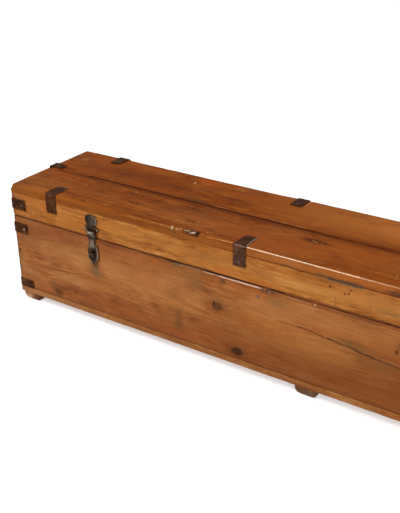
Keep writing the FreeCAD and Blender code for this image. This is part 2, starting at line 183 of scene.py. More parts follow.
def dress(piece, node):
    """Let a piece stand for a CAD node and move with that node's body."""
    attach(piece, body_of_node[node])
    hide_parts(node)
    return piece


def node_box(node):
    """The low and high corners of a CAD node's box."""
    low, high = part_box(node)
    return np.array(low), np.array(high)


def outer_and_inner(low, high, axis, sign):
    """A box's outer and inner levels along an axis, where sign says which way is out."""
    return (high[axis], low[axis]) if sign > 0 else (low[axis], high[axis])


# Materials


def srgb(code):
    """A display colour, written as 0xRRGGBB, as the shader's linear values."""
    shares = ((code >> shift & 255) / 255 for shift in (16, 8, 0))
    return tuple(share / 12.92 if share <= 0.04045 else ((share + 0.055) / 1.055) ** 2.4 for share in shares)


def between(first, second, share):
    """The colour that is that share of the way from the first to the second."""
    return tuple(a + (b - a) * share for a, b in zip(first, second))


class Shader:
    """The nodes of a material or a world, with one short method for each kind of node."""

    def __init__(self, owner):
        self.owner = owner
        owner.use_nodes = True
        self.tree = owner.node_tree
        self.tree.nodes.clear()

    def add(self, kind, **settings):
        node = self.tree.nodes.new(kind)
        for key, value in settings.items():
            setattr(node, key, value)
        return node

    def plug(self, socket, value):
        if isinstance(value, bpy.types.NodeSocket):
            self.tree.links.new(value, socket)
        elif isinstance(value, (tuple, list)) and socket.type == "RGBA":
            socket.default_value = (*value, 1.0)
        else:
            socket.default_value = value

    def fill(self, node, values):
        for socket, value in zip(node.inputs, values):
            self.plug(socket, value)
        return node.outputs[0]

    def coordinates(self):
        return self.add("ShaderNodeTexCoord").outputs["Object"]

    def attribute(self, name):
        return self.add("ShaderNodeAttribute", attribute_name=name).outputs["Fac"]

    def math(self, operation, *values, clamp=False):
        return self.fill(self.add("ShaderNodeMath", operation=operation, use_clamp=clamp), values)

    def times(self, first, second):
        return self.math("MULTIPLY", first, second)

    def vector(self, operation, *values):
        node = self.add("ShaderNodeVectorMath", operation=operation)
        self.fill(node, values)
        return node.outputs["Value" if operation in ("LENGTH", "DOT_PRODUCT") else "Vector"]

    def split(self, vector):
        node = self.add("ShaderNodeSeparateXYZ")
        self.plug(node.inputs[0], vector)
        return node.outputs

    def join(self, x, y, z):
        return self.fill(self.add("ShaderNodeCombineXYZ"), (x, y, z))

    def noise(self, place, scale, detail=3, roughness=0.5, shift=None):
        """Noise from 0 to 1 with so many features to the metre along each axis."""
        if shift is None:
            place = self.vector("MULTIPLY", place, scale)
        else:
            place = self.vector("MULTIPLY_ADD", place, scale, shift)
        node = self.add("ShaderNodeTexNoise")
        for key, given in (("Vector", place), ("Scale", 1.0), ("Detail", detail), ("Roughness", roughness)):
            self.plug(node.inputs[key], given)
        return node.outputs["Fac"]

    def ramp(self, value, *stops):
        """Colours or grey levels, each at its place on the way from 0 to 1."""
        node = self.add("ShaderNodeValToRGB")
        elements = node.color_ramp.elements
        while len(elements) < len(stops):
            elements.new(0.5)
        for element, (position, colour) in zip(elements, stops):
            element.position = position
            element.color = (colour, colour, colour, 1) if isinstance(colour, float) else (*colour, 1)
        self.plug(node.inputs[0], value)
        return node.outputs["Color"]

    def range(self, value, low, high, start=0.0, end=1.0):
        """Goes smoothly from start to end as the value goes from low to high."""
        node = self.add("ShaderNodeMapRange", interpolation_type="SMOOTHSTEP")
        return self.fill(node, (value, low, high, start, end))

    def sway(self, base, wave, amount):
        """The base, moved up and down by noise."""
        return self.math("MULTIPLY_ADD", self.math("SUBTRACT", wave, 0.5), amount, base)

    def contour(self, value, level, wide, narrow):
        """1 in thin lines where the value passes a level."""
        return self.range(self.math("ABSOLUTE", self.math("SUBTRACT", value, level)), wide, narrow)

    def mix(self, share, first, second):
        node = self.add("ShaderNodeMix", data_type="RGBA")
        for key, value in ((0, share), (6, first), (7, second)):
            self.plug(node.inputs[key], value)
        return node.outputs[2]

    def tint(self, colour, mask, amount, other):
        return self.mix(self.times(mask, amount), colour, other)

    def outside(self, place, middle, half):
        """How far a place is outside a box, along the axis on which it is furthest out."""
        away = self.vector("ABSOLUTE", self.vector("SUBTRACT", place, middle))
        past = self.split(self.vector("SUBTRACT", away, half))
        return self.math("MAXIMUM", past[0], self.math("MAXIMUM", past[1], past[2]))

    def blob(self, place, centre, size, soft):
        """1 inside an oval of the given half sizes, fading to 0 just outside it."""
        scaled = self.vector("DIVIDE", self.vector("SUBTRACT", place, centre), size)
        return self.range(self.vector("LENGTH", scaled), 1.0 + soft, max(0.02, 1.0 - soft))

    def stroke(self, place, start, end, width):
        """1 along a straight line, fading to 0 at width from it."""
        run = Vector(end) - Vector(start)
        away = self.vector("SUBTRACT", place, start)
        along = self.vector("DOT_PRODUCT", away, tuple(run))
        share = self.math("DIVIDE", along, run.length_squared, clamp=True)
        scale = self.add("ShaderNodeVectorMath", operation="SCALE")
        scale.inputs[0].default_value = tuple(run)
        self.plug(scale.inputs["Scale"], share)
        rest = self.vector("SUBTRACT", away, scale.outputs[0])
        return self.range(self.vector("LENGTH", rest), width, width * 0.35)

    def seen_directly(self):
        """1 for what is looked at, also in a mirror or through glass, and 0 for the light cast on things."""
        path = self.add("ShaderNodeLightPath")
        seen = self.math("MAXIMUM", path.outputs["Is Camera Ray"], path.outputs["Is Glossy Ray"])
        return self.math("MAXIMUM", seen, path.outputs["Is Transmission Ray"])

    def finish(self, colour, roughness, height, depth, metallic=0.0, specular=0.5, coat=None):
        bump = self.add("ShaderNodeBump")
        self.plug(bump.inputs["Distance"], depth)
        self.plug(bump.inputs["Height"], height)
        given = {"Base Color": colour, "Roughness": roughness, "Metallic": metallic,
                 "Normal": bump.outputs[0], "Specular IOR Level": specular}
        if coat is not None:
            given.update({"Coat Weight": coat, "Coat Roughness": 0.20, "Coat IOR": 1.8})
        shader = self.add("ShaderNodeBsdfPrincipled")
        for key, value in given.items():
            self.plug(shader.inputs[key], value)
        self.plug(self.add("ShaderNodeOutputMaterial").inputs[0], shader.outputs[0])
        return self.owner


BUMP = 0.0008
DIRT, HOLLOW, BARE_WOOD = srgb(0x605434), srgb(0x3A1E10), srgb(0x7A5C42)
# The pale metal is also the colour of painted highlights, and the sooty black also that of painted shade.
BARE_METAL_AND_HIGHLIGHT, SOOT_AND_SHADE = srgb(0xD6CCBE), srgb(0x100A07)


def paint_knot(sh, colour, mark, place, jagged, darkest):
    """A knot: a dark core with rings in it, and a shade round it."""
    size, depth = mark["size"], mark["depth"]
    away = sh.vector("SUBTRACT", place, mark["at"])
    away = sh.vector("DIVIDE", away, (size * mark["wide"], size * 2, size))
    reach = sh.math("ADD", sh.vector("LENGTH", away), sh.math("MULTIPLY_ADD", jagged, 0.9, -0.45))
    halo = sh.range(reach, 2.4, 0.8)
    core = sh.range(reach, 1.15, 0.75)
    eye = sh.range(sh.math("SINE", sh.times(reach, 9.0)), -0.2, 0.9)
    colour = sh.tint(colour, halo, 0.40 * depth, darkest)
    return sh.tint(colour, core, depth, sh.mix(eye, mark["colour"], mark["heart"]))


def wood(name, tones, warm, heart, seed, along="x", ring=0.0075, ring_depth=0.6, marks=(), inside=None,
         gloss=0.06, rough=0.42, fine=1.0, polished=False):
    """Old oiled timber as a solid texture: growth rings round a heart line, fibres, pores and blotches.

    tones run from the darkest to the lightest and warm is the colour of its brighter patches.
    heart is where the tree's centre lies across the grain, and inside is the room in which the
    boards are dry and bare. marks are soiling, knots, cracks, worn places, painted shade and painted
    highlights, in the order in which they lie on each other.
    """
    tones, warm = [srgb(code) for code in tones], srgb(warm)
    sh = Shader(bpy.data.materials.new(name))
    place = sh.coordinates()
    x, y, z = sh.split(place)
    u, v, w = (x, y, z) if along == "x" else (y, x, z)
    u = sh.math("ADD", u, seed * 3.17)
    plain = sh.join(u, v, w)

    slow = sh.noise(plain, (1.3, 7.0, 7.0), 2)
    other = sh.noise(plain, (2.4, 13.0, 13.0), 2, shift=(7.3, 2.1, 4.4))
    waver = sh.noise(plain, (8.0, 45.0, 45.0), 2)
    v = sh.sway(v, slow, 0.06)
    w = sh.sway(sh.sway(w, other, 0.05), waver, 0.006)
    for mark in marks:
        if mark["kind"] == "knot":
            size = mark["size"]
            lump = sh.blob(place, mark["at"], (size * 5, size * 2.6, size * 2.2), soft=0.98)
            w = sh.math("MULTIPLY_ADD", lump, size * 1.2, w)
    grain = sh.join(u, v, w)

    dv = sh.math("SUBTRACT", v, heart[0])
    dw = sh.math("SUBTRACT", w, heart[1])
    distance = sh.math("SQRT", sh.math("ADD", sh.times(dv, dv), sh.times(dw, dw)))
    rings = sh.math("FRACT", sh.math("DIVIDE", distance, ring))
    rings = sh.ramp(rings, (0.0, 0.60), (0.40, 0.54), (0.74, 0.40), (0.90, 0.02), (0.96, 0.18), (1.0, 0.60))
    ring_fade = sh.range(sh.noise(grain, (2.6, 18.0, 18.0), 2), 0.38, 0.62)

    blotch = sh.noise(grain, (2.8, 12.0, 12.0), 3, 0.6)
    cloud = sh.noise(place, (15.0, 26.0, 26.0), 5, 0.66)
    streak = sh.noise(grain, (6.5, 88.0, 88.0), 4, 0.70)
    fibre = sh.noise(grain, (20.0, 260.0, 260.0), 3, 0.70)
    vein = sh.contour(sh.noise(grain, (2.1, 34.0, 34.0), 2, 0.55, shift=(4.0, 9.0, 2.0)), 0.5, 0.020, 0.002)
    pore = sh.range(sh.noise(grain, (26.0, 700.0, 700.0), 1), 0.60, 0.72)
    fleck = sh.range(sh.noise(place, (60.0, 95.0, 95.0)), 0.60, 0.74)

    tone = 0.50
    for part, amount in ((blotch, 0.85), (cloud, 0.95), (streak, 0.95 * fine), (fibre, 0.90 * fine)):
        tone = sh.sway(tone, part, amount)
    ring_part = sh.times(sh.math("SUBTRACT", rings, 0.45), ring_fade)
    tone = sh.math("MULTIPLY_ADD", ring_part, ring_depth, tone)
    colour = sh.ramp(tone, (0.14, tones[0]), (0.38, tones[1]), (0.60, tones[2]), (0.90, tones[3]))
    hue = sh.noise(grain, (4.2, 22.0, 22.0), 3, 0.6, shift=(1.0, 5.0, 8.0))
    colour = sh.mix(sh.range(hue, 0.44, 0.68, 0.0, 0.55), colour, warm)
    colour = sh.tint(colour, sh.times(vein, ring_fade), 0.40, tones[0])
    colour = sh.tint(colour, pore, 0.30, tones[0])
    colour = sh.tint(colour, fleck, 0.30, tones[0])
    dirt_and_shade = sh.noise(place, (7.0, 12.0, 12.0), 5, 0.7, shift=(seed, 3.0, 1.0))
    colour = sh.mix(sh.range(dirt_and_shade, 0.52, 0.72, 0.0, 0.40), colour, between(tones[1], DIRT, 0.5))
    across = sh.math("ADD", y, z)
    lean = sh.join(sh.math("MULTIPLY_ADD", across, 0.45, x), sh.math("MULTIPLY_ADD", x, -0.45, across), y)
    scuff = sh.contour(sh.noise(lean, (7.0, 95.0, 30.0), 2), 0.46, 0.008, 0.001)
    colour = sh.tint(colour, sh.times(scuff, sh.range(dirt_and_shade, 0.46, 0.40)), 0.45, tones[3])

    roughness = sh.math("MULTIPLY_ADD", cloud, 0.24, rough - 0.12)
    height = sh.math("MULTIPLY_ADD", fibre, 0.6, sh.times(rings, 0.5))

    rag = sh.noise(place, (60.0, 110.0, 110.0))
    rubbed = sh.times(sh.attribute("edge"), sh.range(rag, 0.46, 0.66))
    colour = sh.tint(colour, rubbed, 0.30, tones[3])
    sunk = sh.times(sh.attribute("sunk"), sh.range(rag, 0.30, 0.60))
    colour = sh.tint(colour, sunk, 0.6, HOLLOW)

    jagged = sh.noise(place, (90.0, 140.0, 140.0), 3, 0.6)
    bend = sh.math("SUBTRACT", sh.noise(place, (26.0, 26.0, 26.0), 2), 0.5)
    for mark in marks:
        kind = mark["kind"]
        if kind == "knot":
            colour = paint_knot(sh, colour, mark, place, jagged, tones[0])
            continue
        # Zones: soiling and painted contact shade round the straps and hasps.
        if kind == "zone":
            soft = mark["soft"]
            furthest = sh.sway(sh.outside(place, mark["at"], mark["size"]), jagged, soft * 3)
            mask = sh.times(sh.range(furthest, soft, -soft), sh.range(streak, 0.2, 0.55, 0.6, 1.0))
        elif kind == "stain":
            mask = sh.blob(place, mark["at"], mark["size"], mark["soft"])
            uneven = sh.range(jagged, 0.34, 0.60) if mark["rough"] else sh.range(cloud, 0.15, 0.5, 0.55, 1.0)
            mask = sh.times(mask, uneven)
        else:
            if mark["flat"]:
                bent = sh.join(x, sh.math("MULTIPLY_ADD", bend, mark["wander"], y), z)
            else:
                bent = sh.join(x, y, sh.math("MULTIPLY_ADD", bend, mark["wander"], z))
            mask = sh.stroke(bent, mark["at"], mark["to"], mark["width"])
            mask = sh.times(mask, sh.range(jagged, 0.30, 0.52, mark["least"], 1.0))
        mask = sh.times(mask, mark["depth"])
        colour = sh.mix(mask, colour, mark["colour"])
        if mark["relief"]:
            height = sh.math("MULTIPLY_ADD", mask, mark["relief"], height)

    if inside is not None:
        low, high = inside
        middle = tuple((a + b) / 2 for a, b in zip(low, high))
        half = tuple((b - a) / 2 for a, b in zip(low, high))
        raw = sh.range(sh.outside(place, middle, half), 0.003, 0.0)
        colour = sh.mix(raw, colour, sh.mix(0.5, colour, BARE_WOOD))
        roughness = sh.math("MULTIPLY_ADD", raw, 0.25, roughness)

    coat = sh.times(sh.attribute("polish"), sh.range(fibre, 0.30, 0.46, 0.55, 1.0)) if polished else None
    return sh.finish(colour, roughness, height, BUMP, specular=gloss, coat=coat)


def iron(name, tones, seed, metallic=0.7, scale=1.0, rough=0.40, gloss=0.18, mottle=1.0):
    """Old forged or cast metal: brown-black scale, rubbed bright where it is high and dark in its hollows;
    the same masks also carry painted highlights and painted shade.
    """
    dark, middle, light = (srgb(code) for code in tones)
    sh = Shader(bpy.data.materials.new(name))
    place = sh.vector("ADD", sh.coordinates(), (seed * 1.7, seed * 0.9, seed * 2.3))
    place = sh.vector("MULTIPLY", place, (scale, scale, scale))
    broad = sh.noise(place, (38.0, 38.0, 38.0), 4, 0.6)
    fine = sh.noise(place, (210.0, 210.0, 210.0), 4, 0.65)
    pits = sh.range(sh.noise(place, (420.0, 420.0, 420.0), 2), 0.62, 0.74)
    tone = sh.sway(sh.sway(0.60, fine, 0.45 * mottle), broad, 0.75 * mottle)
    colour = sh.ramp(tone, (0.36, dark), (0.60, middle), (0.88, light))
    worn = sh.times(sh.attribute("edge"), sh.range(fine, 0.38, 0.60))
    colour = sh.tint(colour, worn, 0.35, light)
    # The bright mask is rubbed metal and painted highlights; the dark mask after it is patina in the hollows
    # and painted shade.
    bright = sh.times(sh.attribute("bright"), sh.range(fine, 0.30, 0.56, 0.35, 1.0))
    colour = sh.mix(bright, colour, between(light, BARE_METAL_AND_HIGHLIGHT, 0.6))
    colour = sh.mix(sh.attribute("recess"), colour, between(dark, SOOT_AND_SHADE, 0.75))
    colour = sh.tint(colour, pits, 0.5, dark)
    roughness = sh.math("MULTIPLY_ADD", fine, 0.30, rough - 0.15)
    height = sh.math("SUBTRACT", sh.math("MULTIPLY_ADD", broad, 1.4, sh.times(fine, 0.6)), pits)
    return sh.finish(colour, roughness, height, BUMP * mottle, metallic, gloss)


# Marks on the timber


class Face:
    """One side of the chest: an axis and its level there. Marks are placed on it in millimetres, by the
    other two coordinates in their order; shift moves a mark along the axis."""

    def __init__(self, axis, level, dirt_and_shade=None):
        self.axis, self.level, self.dirt_and_shade = axis, level, dirt_and_shade

    def triple(self, first, second, through):
        values = [first, second]
        values.insert(self.axis, through)
        return tuple(value * MM for value in values)

    def spot(self, a, b, wide, high, deep, colour, depth, soft=0.8, rough=False, relief=0, shift=0):
        """An oval mark of the given half sizes, for stains and for painted shade."""
        at, size = self.triple(a, b, self.level + shift), self.triple(wide, high, deep)
        return dict(kind="stain", at=at, size=size, colour=srgb(colour), depth=depth, soft=soft, rough=rough,
                    relief=relief)

    def patches(self, *rows):
        """Broad soft stains and patches of painted sheen, which lie under every finer mark."""
        return [self.spot(*row, soft=0.95) for row in rows]

    def line(self, a, b, c, d, width, colour, depth, wander=4, least=0.35, flat=None, relief=0, shift=0,
             shift_end=None):
        """A crack, scratch, seam, painted shadow or painted highlight from one place to another; least is how
        faint it may get on its way.
        """
        shift_end = shift if shift_end is None else shift_end
        at, to = self.triple(a, b, self.level + shift), self.triple(c, d, self.level + shift_end)
        flat = self.axis == 2 if flat is None else flat
        return dict(kind="stroke", at=at, to=to, width=width * MM, colour=srgb(colour), depth=depth,
                    wander=wander * MM, least=least, flat=flat, relief=relief)

    def knot(self, a, b, size, depth, wide=1.3, colour=0x422818, heart=0x744C2C):
        return dict(kind="knot", at=self.triple(a, b, self.level), size=size * MM, depth=depth, wide=wide,
                    colour=srgb(colour), heart=srgb(heart))

    def grime_and_shade(self, a0, a1, b0, b1):
        """Dirt and painted contact shade gathered round a strap."""
        soft, colour, depth = self.dirt_and_shade
        at = self.triple((a0 + a1) / 2, (b0 + b1) / 2, self.level)
        size = self.triple((a1 - a0) / 2, (b1 - b0) / 2, 10)
        return dict(kind="zone", at=at, size=size, soft=soft * MM, colour=srgb(colour), depth=depth, relief=0)

    def strap_grime_and_shade(self, b0, b1):
        """The same soiling and painted contact shade at each of the three straps."""
        return [self.grime_and_shade(middle - 20, middle + 20, b0, b1) for middle in (-644, 0, 644)]


# The last value of a face: softness, colour and depth of the soiling and painted contact shade round its
# straps.
FRONT = Face(1, -175.5, dirt_and_shade=(3.2, 0x3E200E, 0.62))
TOP = Face(2, 385.0, dirt_and_shade=(3.0, 0x361808, 0.55))
BACK = Face(1, 175.5)
LIP = Face(1, -177)
FOOT = Face(1, -174)
LEFT_END = Face(0, -806)
RIGHT_END = Face(0, 806)

front_marks = [
    *FRONT.patches(
        (-440, 262, 26, 20, 9, 0x7A4222, 0.55),
        (-640, 256, 140, 18, 20, 0x844624, 0.65),
        (-745, 232, 60, 30, 12, 0x7E4624, 0.72),
        (-756, 76, 44, 44, 12, 0x885432, 0.5),
        (-330, 256, 90, 20, 14, 0x96582E, 0.45),
        (-130, 203, 70, 16, 14, 0xB47842, 0.45),
        (45, 126, 80, 18, 14, 0xB0743E, 0.45),
        (440, 230, 50, 22, 12, 0x92582C, 0.45),
        (-580, 122, 76, 17, 12, 0xB67E48, 0.6),
        (-290, 54, 100, 15, 12, 0x7C3E1C, 0.45),
        (230, 130, 90, 28, 14, 0xBE8040, 0.48),
        (440, 190, 70, 44, 14, 0x864C24, 0.6),
        (-498, 196, 22, 20, 9, 0x54341E, 0.7),
        (488, 196, 22, 20, 9, 0x54341E, 0.6),
        (-400, 232, 60, 22, 9, 0x925228, 0.55),
        (-560, 205, 170, 26, 20, 0xB27A44, 0.5),
        (-330, 175, 140, 36, 20, 0xB27642, 0.45),
        (-205, 150, 90, 24, 20, 0xB0723A, 0.45),
        (60, 215, 90, 26, 20, 0xB67840, 0.4),
        (190, 170, 90, 26, 20, 0xBC7E40, 0.42),
        (330, 246, 190, 32, 12, 0xAC6E3A, 0.45),
        (150, 240, 110, 26, 12, 0xAC6E3E, 0.4),
        (-380, 70, 190, 26, 20, 0x84421C, 0.45),
        (-60, 90, 160, 40, 20, 0x864620, 0.35),
        (300, 80, 330, 62, 20, 0x743A18, 0.65),
        (700, 90, 200, 70, 20, 0x763C1A, 0.6),
        (0, 43, 830, 9, 9, 0x68361A, 0.45),
    ),
    # Soiling and painted contact shade round the corner straps and the hasp leaves.
    FRONT.grime_and_shade(-810, -751, 228, 262),
    FRONT.grime_and_shade(-810, -751, 25, 56),
    FRONT.grime_and_shade(751, 810, 228, 262),
    FRONT.grime_and_shade(751, 810, 25, 56),
    FRONT.grime_and_shade(-503, -478, 186, 230),
    FRONT.grime_and_shade(483, 508, 186, 230),
    # Painted shadows of the hasp leaves on the wood to their right.
    FRONT.line(-475, 262, -473, 214, 4.6, 0x422210, 0.8, 1, least=0.7),
    FRONT.line(511, 262, 513, 214, 4.6, 0x422210, 0.8, 1, least=0.7),
    # Painted shade under the lid rail, then dark seam lines painted as the shade in the gap between lid and
    # body.
    FRONT.spot(0, 279, 840, 6, 12, 0x764022, 0.65, soft=0.9),
    FRONT.line(-806, 283, 806, 283, 2.8, 0x381404, 0.97, 2, least=0.85),
    FRONT.line(-230, 283, -90, 283, 5, 0x281208, 0.95, 5),
    FRONT.line(-100, 283.8, 130, 283.8, 3.6, 0x241008, 0.97, 1, least=0.9, shift=3),
    # Painted highlight along the body's worn rim below the seam.
    FRONT.line(-190, 279.5, -80, 279.5, 1.8, 0xAC8668, 0.75, 1),
    FRONT.line(-110, 279.4, -40, 279.3, 2.2, 0xC89E82, 0.85, 1),
    FRONT.line(-56, 279.3, 84, 278.6, 2.6, 0xDCB49C, 0.95, 1, least=0.7),
    FRONT.line(128, 277, 205, 276, 1.4, 0xC49674, 0.6, 1),
    FRONT.line(210, 274, 806, 274, 1.8, 0x602814, 0.5, 2),
    FRONT.spot(80, 276, 22, 5, 9, 0x3E302E, 0.95, soft=0.5, rough=True),
    # Painted highlight on the chip's upper edge.
    FRONT.line(66, 281, 92, 276, 1.4, 0x96929C, 0.7, 2),
    FRONT.spot(-200, 275, 15, 5, 8, 0x7A623E, 0.75, soft=0.6, rough=True),
    FRONT.spot(218, 277, 2.2, 2, 4, 0xDEBE96, 0.8, soft=0.5),
    FRONT.spot(-160, 252, 46, 22, 9, 0x806036, 0.45, soft=0.9),
    FRONT.spot(-240, 230, 70, 20, 9, 0xA6683A, 0.45, soft=0.9),
    FRONT.spot(-128, 234, 17, 9, 9, 0x6C502E, 0.45, soft=0.9),
    FRONT.spot(-50, 268, 10, 7, 9, 0x4E3420, 0.75, soft=0.8),
    FRONT.spot(-56, 252, 9, 9, 9, 0x644C30, 0.45, soft=0.9),
    FRONT.spot(56, 253, 5, 5, 5, 0x5C4C44, 0.75, soft=0.6),
    FRONT.spot(110, 250, 26, 12, 9, 0x78603A, 0.45, soft=0.9),
    FRONT.spot(-74, 187, 34, 22, 12, 0x7C4C26, 0.55, soft=0.9),
    FRONT.knot(-71, 187, 14, 0.7, wide=1.3, colour=0x482A18, heart=0x58361E),
    FRONT.line(-80, 198, -79, 186, 3, 0x28140C, 0.95, 1),
    FRONT.spot(-96, 185, 9, 8, 9, 0xA05028, 0.55, soft=0.8),
    FRONT.knot(-6, 68, 13, 0.95, wide=1.5, colour=0x3E2210, heart=0x54321A),
    FRONT.spot(-8, 66, 15, 10, 9, 0x3E2210, 0.75, soft=0.8),
    FRONT.spot(-648, 64, 17, 14, 12, 0x522E16, 0.85, soft=0.9),
    FRONT.spot(-668, 84, 16, 16, 12, 0x70482A, 0.5, soft=0.9),
    FRONT.spot(-197, 108, 10, 26, 12, 0x5E3E20, 0.55, soft=0.9),
    FRONT.spot(-190, 84, 30, 14, 12, 0x6C4422, 0.4, soft=0.9),
    FRONT.line(113, 199, 174, 202, 3.2, 0x78401E, 0.6, 6),
    FRONT.line(174, 202, 258, 194, 3.4, 0x643216, 0.75, 6, relief=-1.2),
    FRONT.line(258, 194, 331, 186, 4.2, 0x4E2812, 0.9, 6, relief=-1.6),
    FRONT.line(331, 186, 381, 179, 4.6, 0x462612, 0.95, 6, relief=-1.6),
    FRONT.line(381, 179, 449, 172, 3.4, 0x542E18, 0.85, 6, relief=-1.2),
    FRONT.line(449, 172, 640, 146, 2.8, 0x5C321A, 0.75, 6, relief=-1.2),
    FRONT.spot(320, 197, 40, 12, 12, 0x684C26, 0.6, soft=0.9),
    FRONT.spot(400, 160, 60, 16, 12, 0x704C26, 0.5, soft=0.9),
    FRONT.spot(436, 215, 4, 5, 5, 0x3C1C0E, 0.9, soft=0.7),
    FRONT.spot(446, 232, 10, 12, 5, 0x6A3E20, 0.6, soft=0.8),
    FRONT.line(-716, 131, -667, 134, 1.8, 0x5C2E14, 0.7, 2, relief=-0.8),
    FRONT.line(-667, 134, -548, 149, 1.8, 0x603216, 0.75, 3, relief=-0.8),
    FRONT.line(-690, 124, -530, 138, 1.4, 0x703C1C, 0.55),
    FRONT.spot(-794, 170, 3.6, 3.6, 4, 0x26140C, 0.95, soft=0.4),
    FRONT.spot(-485, 173, 20, 18, 12, 0x6A5436, 0.7, soft=0.9),
    FRONT.spot(-470, 190, 9, 14, 9, 0xB25428, 0.4, soft=0.9),
    FRONT.line(-500, 96, -250, 92, 1.6, 0x68361A, 0.5),
    FRONT.line(-560, 226, -700, 232, 1.5, 0x703C1E, 0.4),
    # Painted shade on the rounded left corner of the front.
    FRONT.spot(-804, 160, 5, 150, 9, 0x4A240F, 0.85, soft=0.8),
]

rail_marks = [
    *FRONT.patches(
        (-110, 322, 60, 14, 12, 0x926234, 0.45),
        (-300, 335, 120, 18, 12, 0xBC7C36, 0.35),
        (-600, 318, 90, 20, 12, 0xB8722C, 0.35),
        (-20, 315, 70, 14, 12, 0xBA7C36, 0.35),
        (200, 318, 120, 14, 12, 0xBC823E, 0.5),
        (276, 349, 44, 9, 8, 0x9A5C28, 0.5),
        (-410, 322, 46, 15, 9, 0xC27E34, 0.6),
        (400, 330, 100, 22, 12, 0xBC7C40, 0.6),
        (-690, 350, 80, 22, 12, 0xAC6228, 0.4),
        (-780, 346, 30, 26, 8, 0x965C30, 0.5),
    ),
    # Soiling and painted contact shade round the straps, the lid's corner straps and the hasp plates.
    *FRONT.strap_grime_and_shade(324, 372),
    FRONT.grime_and_shade(-810, -750, 304, 342),
    FRONT.grime_and_shade(750, 810, 304, 342),
    FRONT.grime_and_shade(-513, -474, 285, 352),
    FRONT.grime_and_shade(474, 513, 285, 352),
    # Painted shadows of the hasp knuckles on the rail to their right.
    FRONT.line(-474, 316, -474, 288, 4, 0x42200C, 0.8, 1),
    FRONT.line(512, 316, 512, 288, 4, 0x42200C, 0.8, 1),
    # Dark lines along the rail's lower edge: painted shade in the seam's gap.
    FRONT.line(-806, 286, 806, 286, 2.2, 0x421C08, 0.95, 1, least=0.7),
    FRONT.line(-240, 286, -100, 287, 3.4, 0x3A1C0E, 0.85, 2),
    FRONT.line(60, 359.5, 806, 359.5, 2.6, 0x683416, 0.6, 6),
    FRONT.spot(282, 360, 64, 7, 8, 0x705232, 0.6, soft=0.9),
    FRONT.line(250, 359.5, 338, 359.5, 6, 0x5C4C38, 0.9, 3),
    FRONT.spot(256, 340, 4.2, 4.2, 5, 0x642E12, 0.85, soft=0.7),
    FRONT.spot(266, 339, 2.6, 3.6, 5, 0x80441E, 0.7, soft=0.6),
    FRONT.spot(295, 331, 3.2, 3.2, 5, 0x622E14, 0.85, soft=0.7),
    FRONT.spot(305, 334, 3.4, 3.4, 5, 0x602C12, 0.85, soft=0.7),
    FRONT.spot(310, 344, 4, 3.4, 5, 0x703818, 0.8, soft=0.7),
    FRONT.spot(362, 316, 2.6, 2.6, 5, 0x6E3C1E, 0.6, soft=0.6),
    FRONT.line(271, 318, 273, 288, 1.8, 0x705230, 0.55, 1),
    FRONT.spot(420, 312, 36, 10, 9, 0x7C5C32, 0.6, soft=0.9, rough=True),
    FRONT.spot(-232, 331, 16, 7, 6, 0x764E2A, 0.6, rough=True),
    FRONT.spot(60, 318, 28, 9, 9, 0x925430, 0.5, soft=0.9),
    FRONT.spot(-56, 300, 16, 8, 8, 0xB85C2C, 0.5, soft=0.9),
    FRONT.spot(-438, 298, 20, 8, 8, 0x8A5024, 0.5, soft=0.9),
    # Painted shade on the rounded left corner of the rail.
    FRONT.spot(-803, 322, 6, 46, 8, 0x542A10, 0.8, soft=0.9),
]

